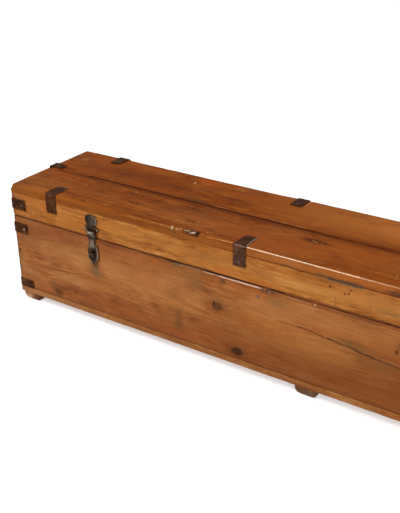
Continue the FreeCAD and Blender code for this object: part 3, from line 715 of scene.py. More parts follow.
top_front_marks = [
    *TOP.patches(
        (0, -10, 900, 13, 9, 0x58260E, 0.7),
        (-740, -130, 90, 60, 12, 0x8E5226, 0.6),
        (-790, -165, 24, 24, 12, 0x7C4A28, 0.6),
        (-690, -165, 30, 16, 12, 0xB47030, 0.5),
        (-560, -170, 240, 16, 12, 0x9A541E, 0.5),
        (-600, -80, 120, 30, 10, 0x864416, 0.6),
        (-330, -60, 200, 26, 10, 0x763610, 0.25),
        (-180, -100, 150, 40, 10, 0xA05C2C, 0.5),
        (60, -110, 120, 46, 10, 0x9E5628, 0.45),
        (330, -80, 180, 60, 10, 0xA65822, 0.5),
        (120, -150, 120, 20, 10, 0xA05624, 0.35),
    ),
    *FRONT.patches(
        (-420, 368, 330, 15, 8, 0x824A21, 0.7),
        (-760, 368, 40, 15, 8, 0x884E24, 0.7),
        (-470, 360, 190, 3, 6, 0xAA682E, 0.55),
        (-120, 368, 110, 12, 8, 0x9C5C2A, 0.6),
        (130, 372, 110, 11, 8, 0xAE6C38, 0.7),
        (420, 374, 200, 9, 8, 0xB46A34, 0.7),
    ),
    # Soiling and painted contact shade round the straps.
    *FRONT.strap_grime_and_shade(340, 388),
    *TOP.strap_grime_and_shade(-180, -116),
    TOP.grime_and_shade(-812, -755, -5, 31),
    TOP.line(-760, -6.5, -600, -6.5, 3, 0x56260C, 0.6, 3),
    TOP.line(-690, -5.5, -590, -6.5, 4.2, 0x461A06, 0.85, 4),
    TOP.line(-640, -6.5, 190, -6.5, 5.4, 0x3E1604, 0.95, 3, least=0.8),
    TOP.line(190, -6.5, 806, -6.5, 6, 0x54220A, 0.8, 3, least=0.8),
    TOP.line(-424, -97, -354, -90, 2.2, 0x32160A, 0.95, relief=-1.6),
    TOP.line(-408, -106, -352, -100, 1.4, 0x421C0C, 0.8),
    TOP.spot(-531, -161, 7, 3, 6, 0x381A0E, 0.9, soft=0.5),
    TOP.spot(-755, -73, 16, 9, 6, 0x58321A, 0.75, rough=True),
    TOP.line(-618, -64, -602, -59, 2.4, 0xB87E4E, 0.75),
    TOP.spot(-588, -57, 11, 5, 6, 0x602A14, 0.8, rough=True),
    TOP.spot(-440, -31, 5, 4, 4, 0xBA8258, 0.6, soft=0.5),
    # A gouge at the front edge: bare wood with painted glints on its lumps and painted shade at its right
    # end.
    TOP.spot(-152, -171, 24, 10, 9, 0x563420, 0.9, soft=0.6, shift=-2, relief=-2),
    TOP.line(-172, -171, -158, -169, 3, 0xB2967A, 0.85, 6, shift=-2, shift_end=-1),
    TOP.line(-155, -174, -142, -170, 3.8, 0xCCB8A4, 0.92, 8, shift=-4, shift_end=-2),
    TOP.line(-166, -160, -140, -154, 1.8, 0xB4845C, 0.6),
    TOP.spot(-131, -171, 5, 8, 9, 0x22120A, 0.95, soft=0.5, shift=-2),
    FRONT.line(-176, 378, -130, 376, 3, 0x462412, 0.85, 2),
    TOP.line(-176, -158, -148, -150, 2, 0x542812, 0.8),
    TOP.line(-160, -150, -118, -112, 1.4, 0xBA865C, 0.6),
    TOP.line(-190, -145, -168, -118, 1.2, 0x582A12, 0.6),
    TOP.spot(-186, -118, 24, 12, 5, 0x68381C, 0.6, rough=True),
    TOP.spot(-168, -112, 4, 3, 4, 0xB0805C, 0.6, soft=0.5),
    TOP.line(-200, -116, -176, -121, 2, 0x46200E, 0.8),
    TOP.spot(-110, -155, 2.6, 2.6, 3, 0xC89A72, 0.7, soft=0.5),
    TOP.line(-236, -104, -196, -112, 1.8, 0x4E2612, 0.75, 6),
    TOP.line(-214, -132, -176, -138, 2, 0xB0764A, 0.6, 6),
    TOP.spot(-140, -146, 18, 6, 6, 0xAC521E, 0.5, soft=0.9),
    TOP.spot(-212, -172, 4, 5, 6, 0xC4A688, 0.8, soft=0.6, rough=True, shift=-3),
    TOP.spot(-196, -172, 3, 5, 6, 0xBA9674, 0.7, soft=0.6, rough=True, shift=-3),
    TOP.spot(-184, -168, 3, 3, 5, 0xB08A68, 0.6, soft=0.6, rough=True),
    FRONT.line(-216, 382, -214, 368, 2.4, 0x5C482C, 0.8, 1),
    FRONT.line(-204, 381, -202, 364, 3, 0x564228, 0.8, 1),
    FRONT.line(-190, 380, -189, 364, 2.4, 0x60482C, 0.75, 1),
    TOP.spot(150, -54, 36, 12, 6, 0x582810, 0.85, soft=0.6),
    TOP.line(144, -53, 160, -58, 2.2, 0xD6A87C, 0.85),
    TOP.line(166, -50, 176, -66, 1.6, 0xB08058, 0.6),
    TOP.line(176, -50, 208, -57, 1.6, 0x542610, 0.75),
    TOP.line(404, -136, 400, -120, 1.6, 0xCEA47C, 0.8),
    # Painted highlight along the lid's worn front top edge, brightest right of the middle strap.
    TOP.line(-360, -172, -240, -172, 2.2, 0xBA7C42, 0.4, 3, flat=False, shift=-3),
    TOP.line(-250, -172, -182, -172, 2.2, 0xC48C54, 0.5, 3, flat=False, shift=-3),
    TOP.line(-100, -172, -22, -172, 1.8, 0xDEA468, 0.85, 1, flat=False, shift=-1),
    TOP.line(22, -174, 330, -174, 1.8, 0xF0C494, 0.75, 1, least=0.6, flat=False, shift=-1),
    TOP.line(330, -174, 440, -174, 1.5, 0xD89E68, 0.65, 1, flat=False, shift=-1),
    FRONT.spot(135, 361, 26, 5, 6, 0x624628, 0.8, rough=True),
    FRONT.line(222, 364, 262, 361.5, 5, 0x64523A, 0.8, 6),
    FRONT.line(256, 361.5, 338, 360.5, 7, 0x584A38, 0.9, 3),
    FRONT.spot(424, 368, 24, 7, 6, 0x4A362A, 0.9, rough=True),
    FRONT.spot(560, 364, 70, 6, 6, 0x60442A, 0.7, rough=True),
    FRONT.line(60, 361, 806, 361, 2, 0x643216, 0.6, 6),
    # Painted shade along the rounded left end of the top.
    TOP.line(-803, -150, -803, -8, 5, 0x421E0C, 0.9, 2, least=0.7, flat=False, shift=-3.3),
]

top_back_marks = [
    *TOP.patches(
        (0, 8, 900, 8, 9, 0x683012, 0.45),
        (-500, 140, 60, 18, 8, 0xA45218, 0.5),
        (-290, 146, 50, 14, 8, 0xB05416, 0.55),
        (-208, 152, 34, 12, 8, 0xAE5216, 0.5),
        (-60, 154, 36, 14, 8, 0xB2581A, 0.55),
        (52, 152, 30, 12, 8, 0xB05A1E, 0.55),
        (-500, 70, 240, 40, 10, 0x723612, 0.6),
        (-680, 120, 130, 50, 10, 0x8E4C20, 0.35),
        (-60, 130, 160, 40, 10, 0x965020, 0.45),
        # Painted sheen on the back plank's right half.
        (240, 110, 190, 60, 10, 0xBC7032, 0.75),
        (400, 40, 160, 30, 10, 0x7A3814, 0.25),
        # Painted sheen on the back plank's right half.
        (430, 110, 130, 60, 10, 0xC47436, 0.8),
        (100, 60, 160, 50, 10, 0xA05A26, 0.4),
    ),
    # Soiling and painted contact shade round the straps.
    *TOP.strap_grime_and_shade(122, 182),
    TOP.grime_and_shade(-812, -755, -5, 31),
    TOP.line(-640, -2, 190, -2, 3, 0x3C1404, 0.97, 1, least=0.85),
    TOP.line(190, -2, 806, -2, 3, 0x502008, 0.85, 1, least=0.85),
    TOP.spot(-336, 118, 3.4, 4, 4, 0xE8C4A8, 0.85, soft=0.5),
    TOP.spot(-750, 105, 12, 10, 4, 0xBE8054, 0.6, rough=True),
    TOP.spot(-192, 142, 14, 10, 4, 0xB47646, 0.5, rough=True),
    # Thin pale lines along the back plank's edge at the joint: a painted highlight.
    TOP.line(150, 3, 164, 1, 2, 0xB88460, 0.7),
    TOP.line(40, 6, 78, 5, 1.4, 0xB07042, 0.6),
    TOP.line(-120, 6, 60, 5, 1.4, 0x9C5C34, 0.5),
    TOP.line(-192, 2, -146, 3, 1.8, 0xB47C50, 0.75),
    TOP.line(-146, 3, -60, 2, 1.6, 0xAA6C3E, 0.6),
    TOP.line(-10, 3, 36, 4, 1.8, 0xB87E50, 0.7),
    TOP.line(66, 3, 92, 4, 2, 0xBE8A62, 0.75),
    TOP.spot(-248, 6, 42, 6, 6, 0x543A28, 0.6, soft=0.8),
    TOP.line(-336, 124, -318, 126, 2.6, 0x5C280E, 0.7),
    TOP.line(-90, 126, -44, 124, 2, 0x622C10, 0.6),
    TOP.line(40, 34, 110, 28, 2.6, 0xAE6A34, 0.5),
    TOP.line(120, 140, 230, 132, 2, 0x703E22, 0.45),
    # Painted highlight beside the right edge of the middle back strap.
    TOP.line(23.5, 130, 24.5, 172, 1.8, 0xCEA07C, 0.65, 1, flat=False),
    TOP.line(300, 60, 560, 50, 1.6, 0x683012, 0.5),
    # Painted shade along the rounded left end and back edge of the top.
    TOP.line(-803, 2, -803, 160, 5, 0x421E0C, 0.9, 2, least=0.7, flat=False, shift=-3.3),
    TOP.line(-780, 171, 806, 171, 4, 0x542810, 0.75, 3, shift=-2),
]

bottom_marks = [
    *LIP.patches(
        (-700, 34, 120, 12, 10, 0xAA7C50, 0.55),
        (-520, 34, 90, 12, 10, 0xAC743E, 0.4),
        (-230, 36, 60, 8, 10, 0x784A28, 0.4),
    ),
    LIP.line(-620, 27, -480, 28, 2, 0x704828, 0.6),
    LIP.line(-300, 40, -120, 39, 1.6, 0x6E4222, 0.5),
]

left_foot_marks = [
    FOOT.spot(-784, 13, 20, 13, 9, 0xC49874, 0.7, soft=0.9),
    # Painted shade on the foot's right-hand side.
    FOOT.spot(-748, 10, 12, 16, 12, 0x502414, 0.85, soft=0.9),
    FOOT.spot(-776, 9, 4, 3, 5, 0xE2C8B0, 0.8, soft=0.6),
    FOOT.line(-796, 21, -762, 17, 1.6, 0x70482E, 0.7, 6),
    FOOT.line(-788, 6, -756, 14, 1.4, 0x7A5236, 0.6, 6),
    FOOT.line(-782, 13, -768, 4, 1.6, 0xDABA9C, 0.6, 6),
    FOOT.spot(-790, 17, 3, 2, 5, 0x603E28, 0.7, soft=0.6),
]

middle_foot_marks = [
    FOOT.spot(198, 12, 44, 22, 12, 0x544434, 0.75, soft=0.9),
]

back_marks = [
    *BACK.patches(
        (-60, 60, 180, 40, 20, 0x703A1A, 0.45),
        (-600, 120, 120, 60, 20, 0x965C2E, 0.35),
    ),
    BACK.knot(-330, 196, 13, 0.8, wide=1.4),
    BACK.knot(262, 92, 11, 0.85, wide=1.5),
    BACK.line(300, 150, 470, 158, 1.8, 0x542C16, 0.8, relief=-1),
    BACK.line(470, 158, 640, 154, 1.4, 0x5C321A, 0.6, relief=-0.8),
]

back_rail_marks = [
    BACK.knot(-210, 330, 8, 0.8, wide=1.5),
]

left_end_marks = [
    LEFT_END.knot(62, 108, 10, 0.8),
    LEFT_END.line(-150, 196, 40, 190, 1.6, 0x582E16, 0.7, relief=-0.8),
]

right_end_marks = [
    RIGHT_END.knot(-52, 176, 11, 0.8),
    RIGHT_END.line(-20, 96, 150, 102, 1.6, 0x542C16, 0.7, relief=-0.8),
]

# The rooms inside the chest and the lid, in which the boards are bare
chest_room = ((-0.784, -0.1535, 0.043), (0.784, 0.1535, 0.60))
lid_room = ((-0.784, -0.1535, -0.2), (0.784, 0.1535, 0.359))

# Each kind of timber, with its colours from the darkest to the lightest and that of its warmer patches
BODY = dict(tones=(0x683718, 0x8F5227, 0xA16333, 0xB87E4A), warm=0xA85C26, inside=chest_room)
BODY_DARK = dict(tones=(0x5C2E14, 0x7E4420, 0x92542A, 0xA86C3C), warm=0x964E22, inside=chest_room)
BAND = dict(tones=(0x68381A, 0x8E542A, 0xA06636, 0xB8824C), warm=0xA8642C, inside=chest_room)
RAIL = dict(tones=(0x703C16, 0x9C5C24, 0xAE6C2E, 0xC68A48), warm=0xB66826, inside=lid_room)
TOP_FRONT = dict(tones=(0x562408, 0x803E10, 0x944E1A, 0xB06C30), warm=0x9C480E, inside=lid_room)
TOP_BACK = dict(tones=(0x542206, 0x803C0B, 0x964B11, 0xB06625), warm=0x9E4C0E, inside=lid_room)
BEARER = dict(tones=(0x562C16, 0x824E2C, 0xA06E44, 0xBE9266), warm=0x965C32)
INNER = dict(tones=(0x583A24, 0x785436, 0x8E6846, 0xA4805A), warm=0x8C603C)
BEARER.update(along="y", ring=0.006, ring_depth=0.8, gloss=0.05)
OILED_TOP = dict(ring_depth=0.35, gloss=0.006, rough=0.38)
END = dict(along="y", ring_depth=0.45)

materials = {
    "front_board": wood("front_wood", heart=(-0.10, 0.185), seed=1, ring_depth=0.30, marks=front_marks,
                        fine=1.15, polished=True, **BODY),
    "back_board": wood("back_wood", heart=(0.24, 0.12), seed=2, ring_depth=0.45, marks=back_marks,
                       **BODY_DARK),
    "left_end_board": wood("left_end_wood", heart=(-0.72, 0.10), seed=3, marks=left_end_marks, **END, **BODY),
    "right_end_board": wood("right_end_wood", heart=(0.86, 0.2), seed=4, marks=right_end_marks, **END,
                            **BODY_DARK),
    "bottom_board": wood("bottom_wood", heart=(0.05, -0.03), seed=5, ring_depth=0.3, marks=bottom_marks,
                         **BAND),
    "lid_front_rail": wood("rail_wood", heart=(-0.09, 0.29), seed=6, ring_depth=0.30, marks=rail_marks,
                           fine=1.35, **RAIL),
    "lid_back_rail": wood("back_rail_wood", heart=(0.26, 0.33), seed=7, ring_depth=0.45,
                          marks=back_rail_marks, **RAIL),
    "lid_left_end": wood("lid_left_wood", heart=(-0.70, 0.31), seed=8, **END, **RAIL),
    "lid_right_end": wood("lid_right_wood", heart=(0.90, 0.35), seed=9, **END, **RAIL),
    "top_front_plank": wood("top_front_wood", heart=(-0.08, 0.28), seed=10, marks=top_front_marks, fine=1.3,
                            polished=True, **OILED_TOP, **TOP_FRONT),
    "top_back_plank": wood("top_back_wood", heart=(0.11, 0.27), seed=11, marks=top_back_marks, **OILED_TOP,
                           **TOP_BACK),
    "left_bearer": wood("left_bearer_wood", heart=(-0.80, -0.05), seed=12, marks=left_foot_marks, **BEARER),
    "middle_bearer": wood("middle_bearer_wood", heart=(0.22, -0.06), seed=13, marks=middle_foot_marks,
                          **BEARER),
    "right_bearer": wood("right_bearer_wood", heart=(0.74, -0.05), seed=14, **BEARER),
    "lid_batten_left": wood("batten_wood", heart=(-0.40, 0.30), seed=15, along="y", gloss=0.05, **INNER),
}
materials["lid_batten_right"] = materials["lid_batten_left"]

strap_iron = iron("strap_iron", (0x180C06, 0x442513, 0x704A2E), 1, metallic=0.05, rough=0.55, gloss=0.02)
hasp_metal = iron("hasp_metal", (0x160D06, 0x3A2513, 0xA48458), 2, scale=1.6, rough=0.38, mottle=0.4)
nail_iron = iron("nail_iron", (0x180D07, 0x3E2415, 0x8C7662), 3, metallic=0.05, scale=2.0, gloss=0.03)
board_nail_iron = iron("board_nail_iron", (0x26140B, 0x402412, 0x5C3A22), 4, metallic=0.05, scale=2.0)


# Worn boards


def dents_at(points, dents):
    """How deep each point is sunk by hollows given as (place, half sizes, depth), in millimetres."""
    depth = np.zeros(len(points))
    for place, size, deep in dents:
        reach = np.linalg.norm((points - np.array(place) * MM) / (np.array(size) * MM), axis=1)
        ragged = 1 + 0.5 * (noise(points, (0.006, 0.005, 0.005), 91) - 0.5)
        depth = np.maximum(depth, deep * MM * ease(reach * ragged, 1.0, 0.35))
    return depth


TIGHTEST = 0.0003
# Distances from a board's edge at which its grid has lines, so that the rounding comes out smooth
FINE = (0.0, 0.0008, 0.0020, 0.0036, 0.0060, 0.0095)
FINE_TOP = (0.0, 0.0008, 0.0022, 0.0042, 0.0070, 0.0105, 0.0145)


def make_board(node, slot, step, radius, seed, wear=1.0, dents=(), fine=FINE, polish=None):
    """A board with rounded, nibbled edges and a slightly uneven face.

    step is the grid's spacing along each axis, and polish says where the edge is rubbed smooth.
    """
    low, high = node_box(node)
    lines = [grid_lines(low[axis], high[axis], step[axis], fine) for axis in range(3)]
    points, faces = block_lattice(lines)
    thin = (high - low).min()
    size = radius(points) if callable(radius) else np.full(len(points), radius)
    size = np.clip(size, TIGHTEST, thin * 0.46)
    points, normal, edge = round_block(points, low, high, size)
    ripple = noise(points, (0.16, 0.05, 0.05), seed) * 0.5
    ripple += noise(points, (0.05, 0.014, 0.014), seed + 1) * 0.25
    nibble = ease(noise(points, (0.016, 0.009, 0.009), seed + 2), 0.55, 0.9)
    nibble += 0.7 * ease(noise(points, (0.045, 0.02, 0.02), seed + 3), 0.6, 0.9)
    smooth = polish(points) if polish else np.zeros(len(points))
    sink = MM * wear * (0.45 * ripple + 1.1 * edge * nibble) * (1 - 0.9 * smooth)
    if slot == "top_wood":
        # The two planks stay tight along their seam
        sink *= 1 - 0.85 * ease(np.abs(points[:, 1]), 0.020, 0.012)
    hollow = dents_at(points, dents)
    points = points - normal * (sink + hollow)[:, None]
    sunk = np.clip(hollow / MM / 2.0, 0, 1)
    rubbed = {"polish": smooth * edge} if polish else {}
    piece = add_piece(node + "_timber", points, faces, materials[node], edge=edge, sunk=sunk, **rubbed)
    dress(piece, node)


strap_centres = [node_box("front_strap_" + place) for place in ("left", "middle", "right")]


def under_strap(points):
    """1 where a front or back strap covers the top edge, fading to 0 beside it."""
    spread = 0.012
    covered = np.zeros(len(points))
    for low, high in strap_centres:
        middle = (low[0] + high[0]) / 2
        half = (high[0] - low[0]) / 2
        covered = np.maximum(covered, 1 - ease(np.abs(points[:, 0] - middle), half, half + spread))
    return covered


def plank_radius(outer_y):
    """The outer top edge is worn round, most of all at the corners; the inner and lower edges stay tight."""

    def radius(points):
        x, y, z = points.T
        low, high = node_box("top_front_plank")
        top = ease(z, high[2] - 0.018, high[2] - 0.006)
        outer = ease(np.abs(y - outer_y), 0.060, 0.030)
        left = ease(x, 0.02, -0.10)
        worn = 0.0042 + 0.0065 * left + (0.001 + 0.003 * left) * (noise(points, (0.09, 1, 1), 5) - 0.5)
        corner = bell(x, low[0], 0.035) + bell(x, high[0], 0.035)
        worn = worn + 0.006 * np.clip(corner, 0, 1)
        covered = under_strap(points)
        worn = worn * (1 - covered) + 0.006 * covered
        tight = 0.0014 + 0.0004 * noise(points, (0.05, 1, 1), 6)
        ends = np.maximum(ease(x, low[0] + 0.03, low[0] + 0.01), ease(x, high[0] - 0.03, high[0] - 0.01))
        share = top * np.maximum(outer, ends)
        return tight * (1 - share) + worn * share

    return radius


# Grid spacings: of boards along X, of boards along Y, and of the battens that are out of sight
LONG = (0.0075, 0.011, 0.008)
ACROSS = (0.012, 0.008, 0.010)
HIDDEN = (0.016, 0.012, 0.012)

# Hollows: where they are, their half sizes and their depth, in millimetres
top_front_dents = [
    ((-152, -173, 384), (18, 9, 8), 2.6),
    ((-132, -171, 384), (8, 8, 8), 3.2),
    ((-205, -174, 384), (18, 6, 6), 1.0),
    ((-531, -161, 385), (8, 4, 6), 1.6),
    ((-390, -94, 385), (36, 4, 5), 1.0),
    ((-606, -61, 385), (18, 5, 5), 1.2),
    ((156, -56, 385), (24, 10, 6), 1.2),
    ((405, -125, 385), (10, 8, 5), 1.0),
    ((-186, -118, 385), (24, 12, 5), 0.8),
    ((310, -175.5, 361), (40, 4, 4), 1.4),
    ((424, -175.5, 368), (16, 4, 5), 1.6),
    ((-420, -174, 360), (60, 4, 3), 1.0),
    ((120, -175.5, 360), (70, 3, 3), 1.2),
    ((-700, -170, 383), (22, 8, 8), 1.6),
    ((700, -170, 383), (30, 8, 8), 2.0),
    ((560, -174, 384), (18, 6, 6), 1.4),
]
top_back_dents = [
    ((-345, 117, 385), (6, 5, 5), 1.2),
    ((156, 4, 385), (7, 5, 5), 1.5),
    ((-750, 105, 385), (12, 10, 5), 0.8),
    ((-192, 142, 385), (14, 10, 5), 0.8),
    ((420, 174, 384), (40, 7, 7), 2.2),
    ((-470, 174, 384), (30, 7, 7), 1.8),
]
front_dents = [
    ((78, -175, 282), (22, 7, 8), 2.6),
    ((-200, -175, 278), (15, 5, 6), 1.6),
    ((-150, -175, 284), (50, 5, 4), 1.4),
    ((218, -175, 281), (7, 4, 4), 1.0),
    ((-73, -175.5, 188), (9, 5, 10), 0.8),
    ((-794, -175.5, 170), (4, 5, 4), 2.0),
    ((436, -175.5, 218), (4, 5, 8), 1.0),
    ((520, -175, 284), (26, 6, 6), 2.0),
    ((-330, -175, 284), (18, 4, 4), 1.2),
    ((-6, -175.5, 67), (14, 5, 8), 0.8),
]
rail_dents = [
    ((-122, -175, 286), (20, 5, 4), 1.6),
    ((256, -175.5, 340), (4, 5, 4), 1.2),
    ((296, -175.5, 332), (4, 5, 4), 1.2),
    ((309, -175.5, 345), (4, 5, 4), 1.2),
    ((-260, -175, 286), (30, 4, 3), 1.0),
    ((640, -175, 286), (24, 5, 4), 1.6),
]


def seam_radius(points):
    """The body's rim: a worn chamfer that is widest near the middle of the chest."""
    x, _, z = points.T
    rim = ease(z, 0.262, 0.276)
    wide = 0.0034 + 0.0040 * bell(x, 0.03, 0.14) + 0.0012 * noise(points, (0.07, 1, 1), 8)
    return 0.0030 * (1 - rim) + wide * rim


def lid_polish(points):
    """The lid's front top edge is rubbed bright to the right of the middle strap."""
    x, y, z = points.T
    front = ease(y, -0.160, -0.168) * ease(z, 0.372, 0.378)
    return front * ease(x, -0.02, 0.03) * ease(x, 0.46, 0.34) + 0.5 * front * ease(x, 0.34, 0.46)


def rim_polish(points):
    """The body's rim is rubbed bright near the middle."""
    x, y, z = points.T
    line = bell(z, 0.2795, 0.0016) * ease(y, -0.172, -0.174)
    return 0.5 * line * ease(x, -0.13, -0.04) * ease(x, 0.13, 0.08)


make_board("front_board", "body_wood", LONG, seam_radius, 10, dents=front_dents, polish=rim_polish)
make_board("back_board", "body_wood", LONG, 0.003, 20)
make_board("left_end_board", "body_wood", ACROSS, 0.0008, 30)
make_board("right_end_board", "body_wood", ACROSS, 0.0008, 40)
make_board("bottom_board", "body_wood", (0.0075, 0.02, 0.006), 0.0022, 50, wear=0.9)
make_board("top_front_plank", "top_wood", LONG, plank_radius(node_box("top_front_plank")[0][1]), 60,
           dents=top_front_dents, polish=lid_polish, fine=FINE_TOP)
make_board("top_back_plank", "top_wood", LONG, plank_radius(node_box("top_back_plank")[1][1]), 70,
           dents=top_back_dents, fine=FINE_TOP)
make_board("lid_front_rail", "rail_wood", LONG, 0.0030, 80, dents=rail_dents)
make_board("lid_back_rail", "rail_wood", LONG, 0.0022, 90)
make_board("lid_left_end", "rail_wood", ACROSS, 0.0008, 100)
make_board("lid_right_end", "rail_wood", ACROSS, 0.0008, 110)
make_board("lid_batten_left", "inner_wood", HIDDEN, 0.003, 120)
make_board("lid_batten_right", "inner_wood", HIDDEN, 0.003, 130)


def bearer_radius(node):
    """A foot whose lower corners are knocked round where it is dragged over the floor."""
    low, high = node_box(node)

    def radius(points):
        x, y, z = points.T
        lower = ease(z, low[2] + 0.016, low[2] + 0.002)
        front = np.maximum(ease(y, low[1] + 0.02, low[1]), ease(y, high[1] - 0.02, high[1]))
        outer = ease(x, low[0] + 0.022, low[0] + 0.002)
        return 0.0015 + lower * (0.002 + 0.003 * front + 0.004 * front * outer)

    return radius


for place in ("left", "middle", "right"):
    node = place + "_bearer"
    make_board(node, "bearer_wood", (0.006, 0.010, 0.005), bearer_radius(node), 140 + len(place), wear=1.6)


# Forged straps


def bent_path(corner, down, inward, drop, reach, turn):
    """A line that comes up one face of the wood, round its edge, and along the next face.

    Returns its length and a function from the distance along it to places and outward directions.
    """
    corner, down, inward = (np.array(v, float) for v in (corner, down, inward))
    first = drop - turn
    arc = turn * math.pi / 2
    centre = corner + (down + inward) * turn

    def place(u):
        angle = np.clip((u - first) / turn, 0, math.pi / 2)[:, None]
        outward = -(inward * np.cos(angle) + down * np.sin(angle))
        at = centre + outward * turn
        at = at + down * np.maximum(first - u, 0)[:, None]
        at = at + inward * np.maximum(u - first - arc, 0)[:, None]
        return at, outward

    return first + arc + reach - turn, place


def straight_path(start, along, outward):
    """A flat strap's line from a start point, as bent_path gives for a bent one."""
    start, along, outward = (np.array(v, float) for v in (start, along, outward))

    def place(u):
        return start + along * u[:, None], np.broadcast_to(outward, (len(u), 3))

    return place


def merge(parts):
    """Join several bodies of points, faces and edge values into one."""
    points, faces, edges, base = [], [], [], 0
    for part_points, part_faces, part_edge in parts:
        points.append(part_points)
        faces += [[int(i) + base for i in face] for face in part_faces]
        edges.append(part_edge)
        base += len(part_points)
    return np.concatenate(points), faces, np.concatenate(edges)


def turned(start, along, profile, around=28, wobble=0.0, seed=0):
    """A closed body of revolution: profile gives (distance along the axis, radius) pairs."""
    start, along = np.array(start, float), np.array(along, float)
    side = np.cross(along, (0.0, 0.0, 1.0) if abs(along[2]) < 0.9 else (1.0, 0.0, 0.0))
    side /= np.linalg.norm(side)
    up = np.cross(along, side)
    angles = np.linspace(0, 2 * math.pi, around, endpoint=False)
    points, faces, edge = [], [], []
    rows = [row for row in profile if row[1] > 1e-9]
    for index, (distance, radius) in enumerate(rows):
        spin = side * np.cos(angles)[:, None] + up * np.sin(angles)[:, None]
        rough = 1 + wobble * (np.sin(angles * 3 + seed) * 0.6 + np.sin(angles * 5 + seed * 2.3) * 0.4)
        points.append(start + along * distance + spin * (radius * rough)[:, None])
        edge.append(np.full(around, 0.6 if index in (0, len(rows) - 1) else 0.0))
        if index:
            for k in range(around):
                n = (k + 1) % around
                a, b = (index - 1) * around, index * around
                faces.append([a + k, a + n, b + n, b + k])
    count = len(rows) * around
    faces.append(list(range(around))[::-1])
    faces.append(list(range(count - around, count)))
    return np.concatenate(points), faces, np.concatenate(edge)


def rounded_rod(length, radius, soft=0.0008):
    """Profile of a rod with eased ends."""
    profile = [(0.0, radius - soft)]
    for share in (0.35, 0.7, 1.0):
        angle = share * math.pi / 2
        profile.append((soft * (1 - math.cos(angle)), radius - soft * (1 - math.sin(angle))))
    return profile + [(length - at, r) for at, r in reversed(profile)]


def solid_block(low, high, radius):
    """A bar with rounded edges."""
    low, high = np.array(low, float), np.array(high, float)
    fine = (0.0, radius * 0.35, radius)
    points, faces = block_lattice([grid_lines(low[k], high[k], 0.004, fine) for k in range(3)])
    points, _, edge = round_block(points, low, high, radius)
    return points, faces, edge


def sides(start, finish, start_radii, finish_radii, length, half):
    """Left and right edges of a strap, each with its own rounding at both ends.

    start and finish say how far each edge leans out there.
    """

    def outline(u):
        share = u / length
        edges = []
        for index, sign in enumerate((-1, 1)):
            edge = sign * half + start[index] * (1 - share) + finish[index] * share
            for distance, radius in ((u, start_radii[index]), (length - u, finish_radii[index])):
                inside = np.clip(radius - distance, 0, radius)
                edge = edge - sign * (radius - np.sqrt(np.maximum(radius**2 - inside**2, 0)))
            edges.append(edge)
        return edges

    return outline


def strap(path, length, across, width, thickness, outline, seed, bed=0.0008, dents=0.5, step=0.0026,
          notch=None, crown=None, rim=0.0009):
    """A flat iron strap laid along a path and hammered slightly uneven.

    It reaches bed below the path, crown adds relief to its upper face, and notch moves its
    points along the path.
    """
    fine = (0.0, rim * 0.4, rim)
    lines = [
        grid_lines(0.0, length, step, fine),
        grid_lines(-width / 2, width / 2, step, fine),
        grid_lines(-bed, thickness, thickness, fine),
    ]
    points, faces = block_lattice(lines)
    low = np.array([axis[0] for axis in lines])
    high = np.array([axis[-1] for axis in lines])
    points, _, edge = round_block(points, low, high, rim)
    u, v, s = points.T
    left, right = outline(u)
    share = v / width + 0.5
    wave = noise(np.stack([u, np.sign(v) * 0.5, u * 0], axis=1), (0.018, 1, 1), seed + 2)
    inset = 0.0007 * wave
    v = (left + inset) * (1 - share) + (right - inset) * share
    flat = np.stack([u, v, u * 0], axis=1)
    beaten = noise(flat, (0.011, 0.009, 1), seed) + 0.5 * noise(flat, (0.0045, 0.004, 1), seed + 1)
    upper = ease(s, 0, thickness)
    s = s - upper * beaten * dents * MM
    if crown is not None:
        s = s + upper * crown(u, v)
    if notch is not None:
        u = notch(u, v)
    at, outward = path(u)
    return at + outward * s[:, None] + np.array(across, float) * v[:, None], faces, edge


def add_iron(node, parts, material, slot, **attributes):
    points, faces, edge = merge(parts)
    dress(add_piece(node + "_forged", points, faces, material, edge=edge, **attributes), node)


UP, DOWN = (0, 0, 1), (0, 0, -1)
RIGHTWARD, BACKWARD, FORWARD = (1, 0, 0), (0, 1, 0), (0, -1, 0)
THICK = 0.003
# How widely a strap turns over the lid's edge and round a corner of the chest
BEND = 0.006
CORNER_BEND = 0.003
HINGE_KNUCKLE = 0.0055
HINGE_GAP = 0.0004
HINGE_CLEARANCE = 0.0008


def make_front_straps():
    """The three straps over the lid's front edge; the middle one is rubbed bright, and each has a painted
    highlight along its bend and upper right rim, strongest on the middle one.
    """
    # How far each edge leans out at the lower and the upper end, and its rounding there
    shapes = {
        "left": ((0, 0), (0.001, 0), (0.003, 0.003), (0.017, 0.004)),
        "middle": ((0, 0), (0.006, 0), (0.003, 0.004), (0.003, 0.003)),
        "right": ((0, 0), (0, -0.002), (0.004, 0.003), (0.004, 0.009)),
    }
    for index, (place, shape) in enumerate(shapes.items()):
        node = "front_strap_" + place
        low, high = node_box(node)
        corner = np.array([(low[0] + high[0]) / 2, low[1] + THICK, high[2] - THICK])
        length, path = bent_path(corner, DOWN, BACKWARD, corner[2] - low[2], high[1] - corner[1], BEND)
        width = high[0] - low[0]
        outline = sides(*shape, length, width / 2)
        part = strap(path, length, RIGHTWARD, width, THICK, outline, seed=200 + 7 * index)
        x, y, z = part[0].T
        # Painted highlight along each strap's bend and upper right rim.
        bend = bell(y - low[1], 0.0024, 0.0010) * ease(z, high[2] - 0.006, high[2] - 0.003)
        rim = ease(x, high[0] - 0.0016, high[0] - 0.0004) * ease(z, high[2] - 0.004, high[2] - 0.002)
        bright = np.maximum(0.5 * bend, rim) * (1.0 if place == "middle" else 0.15)
        if place == "middle":
            bright = np.maximum(bright, 0.05 * ease(z, high[2] - 0.008, high[2] - 0.014))
        add_iron(node, [part], strap_iron, "strap_iron", bright=bright)


